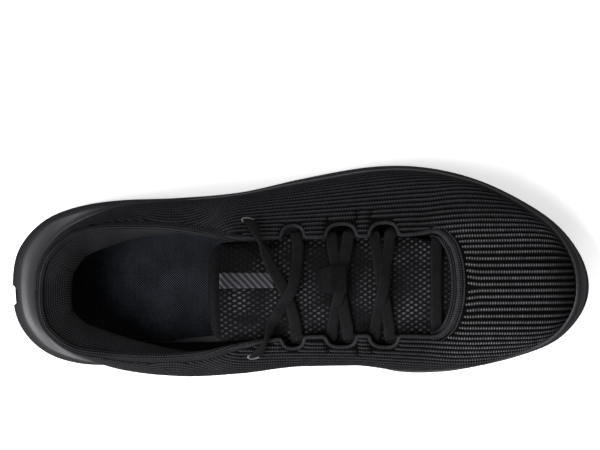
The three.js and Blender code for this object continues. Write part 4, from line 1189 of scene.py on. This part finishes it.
def make_collar_band():
    """Fine knit from the outside of the collar over its crest, down to the top of the pad."""
    half = 0.485
    q = np.linspace(-half, half, 620)
    fade = smoothstep((half - np.abs(q)) / 0.1)[:, None]
    s = np.linspace(0, 1, 20)[None, :]
    down = mix(4.2, 0.0, np.clip(s / 0.55, 0, 1)) * (0.25 + 0.75 * fade)
    slope = wall_run(q)[:, None]
    angle = np.clip((s - 0.5) / 0.5, 0, 1) * np.pi
    roll = 1.0 + 0.5 * fade
    v = np.clip(1 - down / slope, 0, 1)
    qq = np.repeat(q[:, None], s.shape[1], 1)
    out = off_upper(qq, v, 0.25 * fade * np.sin(np.clip(s / 0.5, 0, 1) * np.pi / 2))
    crest = upper(qq, np.ones_like(qq))
    normal = upper_normal(qq, np.ones_like(qq))
    climb = upper(qq, np.ones_like(qq)) - upper(qq, np.full_like(qq, 0.98))
    climb /= np.linalg.norm(climb, axis=-1, keepdims=True)
    swing = 1 - np.cos(angle)
    over = crest + normal * (0.25 * fade - roll * swing)[..., None]
    over = over + climb * (roll * 0.9 * np.sin(angle))[..., None]
    beneath = crest + normal * (-0.15 - (roll - 0.4) * swing)[..., None]
    beneath = beneath + climb * ((roll - 0.4) * 0.9 * np.sin(angle))[..., None]
    on_crest = (s >= 0.5)[..., None]
    shell = np.where(on_crest, over, out)
    inner = np.where(on_crest, beneath, off_upper(qq, v, -0.15 + 0 * v))
    uv = np.stack([lengths_along(shell, 0), lengths_along(shell, 1)], -1)
    obj = closed_sheet("collar_band", shell, inner, FINE, uv)
    finish_piece(obj, "shoe", slot="knit")


make_throat_binding()
make_collar_band()

# %% [markdown]
# ## Insole
# The insole is a die-cut foam sheet under cloth, pressed into a shallow cup. Its medial edge stands away
# from the lining a little and shows the paler cut foam.

# %% Insole
LINING = 1.0
INSOLE_GAP = 1.3  # between the insole's edge and the lining
INSET = KNIT + COUNTER + LINING + INSOLE_GAP
INSOLE = 4.2
STROBEL = 1.2  # the sewn-in board under it
LAYER_GAP = 0.3


def insole_low(x):
    return floor_z(x) + LAYER_GAP + STROBEL + LAYER_GAP


def heel_cup(x):
    """How far the insole's rim stands up, most behind the heel."""
    return 5 * (1 - smoothstep((x + 120) / 90))


def make_insole():
    count = 300
    q = np.arange(count) * 2 / count
    edge = feather_xy(q) - plan_normal(feather_xy, q) * INSET
    lift = smoothstep((q - 1.58) / 0.06) * smoothstep((1.76 - q) / 0.05) * 2.2
    rings = [spine_ring(q, edge, share, insole_low) for share in (0, 0.35, 0.7, 0.94)]
    under = spine_ring(q, edge, 1, insole_low)
    under[:, 2] += 0.4 + lift
    rings.append(under)
    cut_rows = len(rings)  # the rows below the cloth show the cut foam
    for share in (1.0, 0.985, 0.96, 0.93, 0.88, 0.8, 0.7, 0.55, 0.4, 0.2, 0):
        ring = spine_ring(q, edge, share, insole_low)
        rim = np.clip((share - 0.62) / 0.38, 0, 1) ** 2
        round_off = 0.9 * np.clip((share - 0.955) / 0.045, 0, 1) ** 2
        ring[:, 2] += INSOLE + (heel_cup(ring[:, 0]) + 1.6) * rim - 0.6 - round_off + lift * rim**2
        rings.append(ring)
    grid = np.stack(rings, 1)
    n = len(rings)
    faces = grid_faces(count, n, closed_rows=True)
    obj = new_object("insole_pad", grid, faces, [CLOTH, PALE_FOAM], grid[..., :2])
    index = np.array([f[0] % n for f in faces])
    obj.data.polygons.foreach_set("material_index", (index < cut_rows).astype(np.int32))
    fix_normals(obj, 0.01)
    finish_piece(obj, "insole_plate", "insole", slot="insole")


make_insole()

# %% [markdown]
# ## Tongue
# The tongue is a padded tab in an open diamond mesh. It is one soft piece from the toe end of the throat to
# its free top edge. Each window of the mesh is a real dent between raised cords.

# %% Tongue
LACE_ROOM = 0.8
LACE_THICKNESS = 1.6
LACE_WIDTH = 5.6
LACE_LEVEL = -(KNIT + LACE_ROOM + LACE_THICKNESS / 2)
TONGUE_TOP = KNIT + 2 * LACE_ROOM + LACE_THICKNESS
tongue_half = along([(-41, 28), (-26, 30), (-10, 32.5), (0, 33), (40, 32.5), (60, 31), (74, 26), (84, 17)])


def make_tongue():
    x = np.concatenate([np.linspace(-41, -36, 20)[:-1], np.linspace(-36, 82, 236)])
    t = np.linspace(-1, 1, 124)
    xx, tt = np.meshgrid(x, t, indexing="ij")
    half = tongue_half(xx)
    corner = np.clip((-35.5 - xx) / 5.5, 0, 1)
    half = half - 5 * (1 - np.sqrt(np.clip(1 - corner**2, 0, 1)))
    yy = -10.4 + tt * half
    side_drop = np.clip((np.abs(tt) - 0.9) / 0.1, 0, 1)
    end_drop = np.clip((-38.6 - xx) / 2.4, 0, 1)
    roll = 1 - np.sqrt(np.clip(1 - np.maximum(side_drop, end_drop) ** 2, 0, 1))
    turn_u = np.cos(2 * np.pi * (xx / 4.3 + yy / 3.1))
    turn_v = np.cos(2 * np.pi * (xx / 4.3 - yy / 3.1))
    window = smoothstep((turn_u + turn_v - 0.55) / 0.7)
    plain = np.maximum(np.clip((np.abs(tt) - 0.9) / 0.05, 0, 1), np.clip((-36.6 - xx) / 1.2, 0, 1))
    window = window * (1 - plain)
    top = on_bridge(xx, yy, -TONGUE_TOP - 0.05 - 0.42 * window - 2.2 * roll)
    under = on_bridge(xx, yy, -TONGUE_TOP - 5.4 + 2.2 * roll)
    obj = closed_sheet("tongue_pad", top, under, MESH, np.stack([xx, yy], -1))
    layer = obj.data.attributes.new("window", "FLOAT", "POINT")
    layer.data.foreach_set("value", np.concatenate([window.ravel(), np.zeros(window.size)]))
    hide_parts("tongue_cover", "tongue_foam", "tongue_cover_top", "tongue_foam_top")
    bend_over_joint(obj)
    return obj


def bend_over_joint(obj):
    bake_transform(obj)


make_tongue()


# %% [markdown]
# ### Label and lace keeper
# A satin label is sewn to the middle of the tongue. A tab behind the second crossing keeps the lace, and so
# the tongue, in the middle.


# %% Label and keeper
def strip(name, xs, ys, depth, thickness, material):
    """A thin cloth strip over the bridge, with rounded edges."""
    xx, yy = np.meshgrid(xs, ys, indexing="ij")
    depth = np.broadcast_to(depth, xx.shape)
    ex = np.minimum(np.arange(len(xs)), np.arange(len(xs))[::-1])[:, None] / 2
    ey = np.minimum(np.arange(len(ys)), np.arange(len(ys))[::-1])[None, :] / 2
    edge = np.clip(np.minimum(ex, ey), 0, 1)
    base = np.stack([xx, yy, bridge_z(xx, yy)], -1)
    normal = instep_normal(xx, yy)
    top = base + normal * (-depth + thickness * (0.5 + 0.5 * edge))[..., None]
    low = base + normal * (-depth + thickness * 0.35 * (1 - edge))[..., None]
    return closed_sheet(name, top, low, material, np.stack([xx, yy], -1))


label_x, label_y = np.linspace(-37.2, -11.2, 76), np.linspace(-8.2, 0.7, 26)
label = strip("satin_label", label_x, label_y, TONGUE_TOP - 0.02, 0.55, LABEL)
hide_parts("tongue_label", "tongue_label_top")
bend_over_joint(label)


def make_keeper():
    xs, ys = np.linspace(10.5, 23.5, 40), np.linspace(-11, 2.6, 30)
    rise_up = smoothstep((xs - 11.6) / 3.4)[:, None]
    depth = mix(TONGUE_TOP - 0.02, -(LACE_LEVEL + 2.0 + LACE_THICKNESS / 2 + 0.35), rise_up)
    obj = strip("lace_keeper_tab", xs, ys, depth + np.zeros((1, 30)), 0.75, MESH)
    finish_piece(obj, "shoe", "lace_keeper", slot="label")


make_keeper()

# %% [markdown]
# ## Lace
# One flat lace crosses the tongue three times. It runs straight across at the toe end, dives under a tab
# between each pair of holes, and its ends go down through the top eyelets and lie tucked inside the shoe.
# The lace is swept along one smooth curve through those places, its width lying on the surface below it.

# %% Lace route
TAB_COVER = 3.4
LIFT = LACE_THICKNESS + 0.4
EYELETS = {1: (-26, 24.6), -1: (-23, -42)}
LACE_SHOWN = (6.2, 1.25)  # width and thickness of the flat weave


def spot(x, y, d):
    """A place of the lace: its middle, the normal below it, and no width of its own."""
    x, y = np.array(float(x)), np.array(float(y))
    return on_bridge(x, y, np.array(float(d))), instep_normal(x, y), None


def under_tab(x, side):
    return (x, throat_edge(x, side) + side * TAB_COVER)


def hole_leg(number, side, towards):
    a, b = HOLES[number]
    margin = LACE_WIDTH / 2 + 0.2
    return under_tab(b - margin if towards > 0 else a + margin, side)


def between(a, b, t):
    return mix(a[0], b[0], t), mix(a[1], b[1], t)


def crossing(a, b, t, lifted, bow=0.0):
    """Places along a run from a to b that crosses another at share t, bowed forwards in the middle."""
    raise_by = LIFT if lifted else 0
    places = []
    for d in (-0.4, -0.3, -0.2, -0.07, 0.07, 0.2, 0.3, 0.4):
        x, y = between(a, b, t + d)
        level = LACE_LEVEL + (raise_by if abs(d) < 0.1 else 0)
        places.append(spot(x + bow * 4 * (t + d) * (1 - t - d), y, level))
    return places


def tab_run(a, b):
    return [spot(*between(a, b, t), LACE_LEVEL) for t in (0, 0.25, 0.75, 1)]


def eyelet_entry(side):
    x = EYELETS[side][0]
    return (x + 6, throat_edge(x, side) - side * 3.2)


def tucked_end(side):
    x, y = EYELETS[side]
    above = KNIT / 2 + 0.3 + LACE_THICKNESS
    q, v, _ = locate(np.array(float(x)), np.array(float(y)))
    aglet = 1.6
    width = np.array([side, 0, 0], float)
    edge = throat_edge(x, side)

    def inside(dq, dv):
        return off_upper(q + side * dq, v - dv, -(KNIT + 2 * LACE_ROOM + aglet))

    return [
        spot(mix(x, x + 6, 0.9), edge - side * 3.2, above - 0.4),
        spot(x + 2.2, mix(edge, y, 0.35), above),
        (off_upper(q, v, above - 0.3) + np.array([0, -side * 1.4, 0]), None, width),
        (off_upper(q, v, -KNIT / 2), None, width),
        (inside(0, 0.035), None, width),
        (inside(0.012, 0.12), None, width),
        (inside(0.024, 0.2), None, width),
        (inside(0.036, 0.28), None, width),
        (inside(0.05, 0.37), None, width),
    ]


def bar_end(side):
    return under_tab(70, side)


L, M = 1, -1
route = (
    tucked_end(L)[::-1]
    + crossing(eyelet_entry(L), hole_leg(0, M, 1), 0.62, False, bow=4.5)
    + tab_run(hole_leg(0, M, 1), hole_leg(1, M, -1))
    + crossing(hole_leg(1, M, -1), hole_leg(1, L, 1), 0.5, True)
    + tab_run(hole_leg(1, L, 1), hole_leg(2, L, -1))
    + crossing(hole_leg(2, L, -1), hole_leg(2, M, 1), 0.5, False)
    + tab_run(hole_leg(2, M, 1), bar_end(M))
    + [spot(*between(bar_end(M), bar_end(L), t), LACE_LEVEL) for t in (0.2, 0.4, 0.6, 0.8)]
    + tab_run(bar_end(L), hole_leg(2, L, 1))
    + crossing(hole_leg(2, L, 1), hole_leg(2, M, -1), 0.5, True)
    + tab_run(hole_leg(2, M, -1), hole_leg(1, M, 1))
    + crossing(hole_leg(1, M, 1), hole_leg(1, L, -1), 0.5, False)
    + tab_run(hole_leg(1, L, -1), hole_leg(0, L, 1))
    + crossing(hole_leg(0, L, 1), eyelet_entry(M), 0.5, True, bow=6.0)
    + tucked_end(M)
)


# %% Sweep the lace
def centripetal(points, steps):
    """A Catmull-Rom curve with centripetal spacing. Returns positions and the place along the knots."""
    p = np.asarray(points)
    p = np.concatenate([[2 * p[0] - p[1]], p, [2 * p[-1] - p[-2]]])
    out, at = [], []
    for i in range(1, len(p) - 2):
        p0, p1, p2, p3 = p[i - 1 : i + 3]
        t0, t1 = 0.0, np.linalg.norm(p1 - p0) ** 0.5
        t2 = t1 + np.linalg.norm(p2 - p1) ** 0.5
        t3 = t2 + np.linalg.norm(p3 - p2) ** 0.5
        count = max(2, int(np.linalg.norm(p2 - p1) / steps))
        for k in range(count + (i == len(p) - 3)):
            t = mix(t1, t2, k / count)
            a1 = (t1 - t) / (t1 - t0) * p0 + (t - t0) / (t1 - t0) * p1
            a2 = (t2 - t) / (t2 - t1) * p1 + (t - t1) / (t2 - t1) * p2
            a3 = (t3 - t) / (t3 - t2) * p2 + (t - t2) / (t3 - t2) * p3
            b1 = (t2 - t) / (t2 - t0) * a1 + (t - t0) / (t2 - t0) * a2
            b2 = (t3 - t) / (t3 - t1) * a2 + (t - t1) / (t3 - t1) * a3
            out.append((t2 - t) / (t2 - t1) * b1 + (t - t1) / (t2 - t1) * b2)
            at.append(i - 1 + k / count)
    return np.array(out), np.array(at)


LACE_PROFILE = [
    (-0.5, 0.0), (-0.47, 0.28), (-0.38, 0.46), (-0.2, 0.5), (0, 0.5), (0.2, 0.5), (0.38, 0.46),
    (0.47, 0.28), (0.5, 0.0), (0.47, -0.28), (0.38, -0.46), (0.2, -0.5), (0, -0.5), (-0.2, -0.5),
    (-0.38, -0.46), (-0.47, -0.28),
]  # fmt: skip


def make_lace():
    centres = np.array([r[0] for r in route])
    path, at = centripetal(centres, 0.7)
    tangent_at = np.gradient(centres, axis=0)
    tangent_at /= np.linalg.norm(tangent_at, axis=-1, keepdims=True)
    widths = []
    for (_, normal, width), t in zip(route, tangent_at):
        side = width if width is not None else np.cross(normal, t)
        side = side / np.linalg.norm(side)
        widths.append(side)
    first = next(i for i, r in enumerate(route) if r[2] is None)
    for i in range(first, len(widths)):
        if route[i][2] is not None and np.dot(widths[i], widths[i - 1]) < 0:
            widths[i] = -widths[i]
    for i in range(first - 1, -1, -1):
        if np.dot(widths[i], widths[i + 1]) < 0:
            widths[i] = -widths[i]
    widths = np.array(widths)
    tangent = np.gradient(path, axis=0)
    tangent /= np.linalg.norm(tangent, axis=-1, keepdims=True)
    i = np.minimum(at.astype(int), len(route) - 2)
    across = mix(widths[i], widths[i + 1], (at - i)[:, None])
    across -= tangent * np.sum(across * tangent, -1, keepdims=True)
    across /= np.linalg.norm(across, axis=-1, keepdims=True)
    up = np.cross(tangent, across)
    run = np.concatenate([[0], np.cumsum(np.linalg.norm(np.diff(path, axis=0), axis=-1))])
    profile = np.array(LACE_PROFILE)
    ripple = 1 + 0.05 * np.sin(2 * np.pi * run / 1.3)
    gather = np.zeros_like(run)
    for place in (8, len(route) - 9):
        middle = np.interp(place, at, run)
        gather = np.maximum(gather, np.exp(-(((run - middle) / 5.5) ** 2)))
    wide, thick = LACE_SHOWN
    width = wide * (1 + 0.03 * np.sin(run / 9.0)) * (1 - 0.6 * gather)
    ring = (
        path[:, None]
        + across[:, None] * (profile[None, :, :1] * width[:, None, None])
        + up[:, None] * (profile[None, :, 1:] * (thick * ripple)[:, None, None])
    )
    n, rows = len(profile), len(path)
    faces = grid_faces(rows, n, closed_columns=True)
    faces += [list(range(n)), list(range((rows - 1) * n, rows * n))[::-1]]
    uv = np.stack([np.repeat(run[:, None], n, 1), np.repeat(profile[None, :, 0] * LACE_WIDTH, rows, 0)], -1)
    obj = fix_normals(new_object("woven_lace", ring, faces, LACE, uv))
    finish_piece(obj, "shoe", "shoelace", slot="lace")
    print("laced length", round(float(run[-1])), "mm")


make_lace()


# %% [markdown]
# ### Lace tips and eyelet stitching
# Each end of the lace is wrapped in a shrunk film. Each top eyelet is a slot in the knit; only the paler
# thread whipped round it is made here, as a ring on the knit.

# %% Tips and eyelets
def rebuilt_copy(cad_name, name, material, bevel):
    """A merged copy of a solid with its edges rounded."""
    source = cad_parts[cad_name]
    obj = bpy.data.objects.new(name, source.data.copy())
    obj.data.materials.clear()
    obj.data.materials.append(material)
    scene.collection.objects.link(obj)
    bm = bmesh.new()
    bm.from_mesh(obj.data)
    bmesh.ops.remove_doubles(bm, verts=bm.verts, dist=1e-5)
    bmesh.ops.dissolve_limit(bm, angle_limit=math.radians(3), verts=bm.verts, edges=bm.edges)
    bm.to_mesh(obj.data)
    bm.free()
    if bevel:
        angle = math.radians(40)
        apply_modifier(obj, "BEVEL", width=bevel * MM, segments=3, limit_method="ANGLE", angle_limit=angle)
    return obj


for side in ("lateral", "medial"):
    tip = rebuilt_copy("aglet_" + side, "lace_tip_" + side, TIP, 0.35)
    tip.data.polygons.foreach_set("use_smooth", [True] * len(tip.data.polygons))
    finish_piece(tip, "shoe", "aglet_" + side, slot="aglet")


def make_eyelet(side, name):
    x, y = EYELETS[side]
    q, v, _ = locate(np.array(float(x)), np.array(float(y)))
    normal = upper_normal(q, v)
    centre = off_upper(q, v, 0.75)
    along_x = np.array([1.0, 0, 0]) - normal * normal[0]
    along_x /= np.linalg.norm(along_x)
    across = np.cross(normal, along_x)
    a = np.linspace(0, 2 * np.pi, 96, endpoint=False)
    path = centre + along_x * (3.2 * np.cos(a))[:, None] + across * (2.0 * np.sin(a))[:, None]
    obj = sweep(name, path, np.repeat(normal[None], 96, 0), oval(0.9, 0.9, 10), THREAD, closed=True)
    finish_piece(obj, "shoe", slot="knit")


make_eyelet(1, "eyelet_stitching_lateral")
make_eyelet(-1, "eyelet_stitching_medial")

# %% [markdown]
# ## Rubber
# The outsole pads are pressed in a waffle pattern: each cell's floor is set back between low walls. The
# pads start as copies of their solids. Their undersides are cut into cells with bisect, and every cell is
# inset and pushed in, which is quick to change if the pattern should be finer.


# %% Outsole pads
WAFFLE_PITCH = 7.5
WAFFLE_WALL = 0.8
WAFFLE_DEPTH = 1.1


def make_pad(cad_name):
    obj = rebuilt_copy(cad_name, "rubber_" + cad_name, RUBBER, 0)
    lo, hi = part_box(cad_name)
    deselect()
    bpy.context.view_layer.objects.active = obj
    obj.select_set(True)
    bpy.ops.object.mode_set(mode="EDIT")
    bpy.ops.mesh.select_all(action="SELECT")
    for axis, a, b in ((0, lo[0], hi[0]), (1, lo[1], hi[1])):
        count = max(2, round((b - a) / (WAFFLE_PITCH * MM)))
        for k in range(1, count):
            bpy.ops.mesh.select_all(action="SELECT")
            place = [0, 0, 0]
            place[axis] = mix(a, b, k / count)
            normal = [0, 0, 0]
            normal[axis] = 1
            bpy.ops.mesh.bisect(plane_co=place, plane_no=normal)
    bpy.ops.object.mode_set(mode="OBJECT")
    for face in obj.data.polygons:
        face.select = face.normal.z < -0.9 and face.area > 8e-6
    bpy.ops.object.mode_set(mode="EDIT")
    bpy.ops.mesh.select_mode(type="FACE")
    bpy.ops.mesh.inset(thickness=WAFFLE_WALL * MM, use_individual=True)
    bpy.ops.mesh.inset(thickness=WAFFLE_WALL / 2 * MM, use_individual=True)
    bpy.ops.transform.translate(value=(0, 0, WAFFLE_DEPTH * MM))
    bpy.ops.object.mode_set(mode="OBJECT")
    obj.data.polygons.foreach_set("use_smooth", [False] * len(obj.data.polygons))
    finish_piece(obj, "shoe", cad_name, slot="outsole")


for name in sorted(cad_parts):
    if name.startswith("outsole_"):
        make_pad(name)

bumper = rebuilt_copy("toe_bumper", "rubber_toe_bumper", RUBBER, 0.3)
finish_piece(bumper, "shoe", "toe_bumper", slot="outsole")
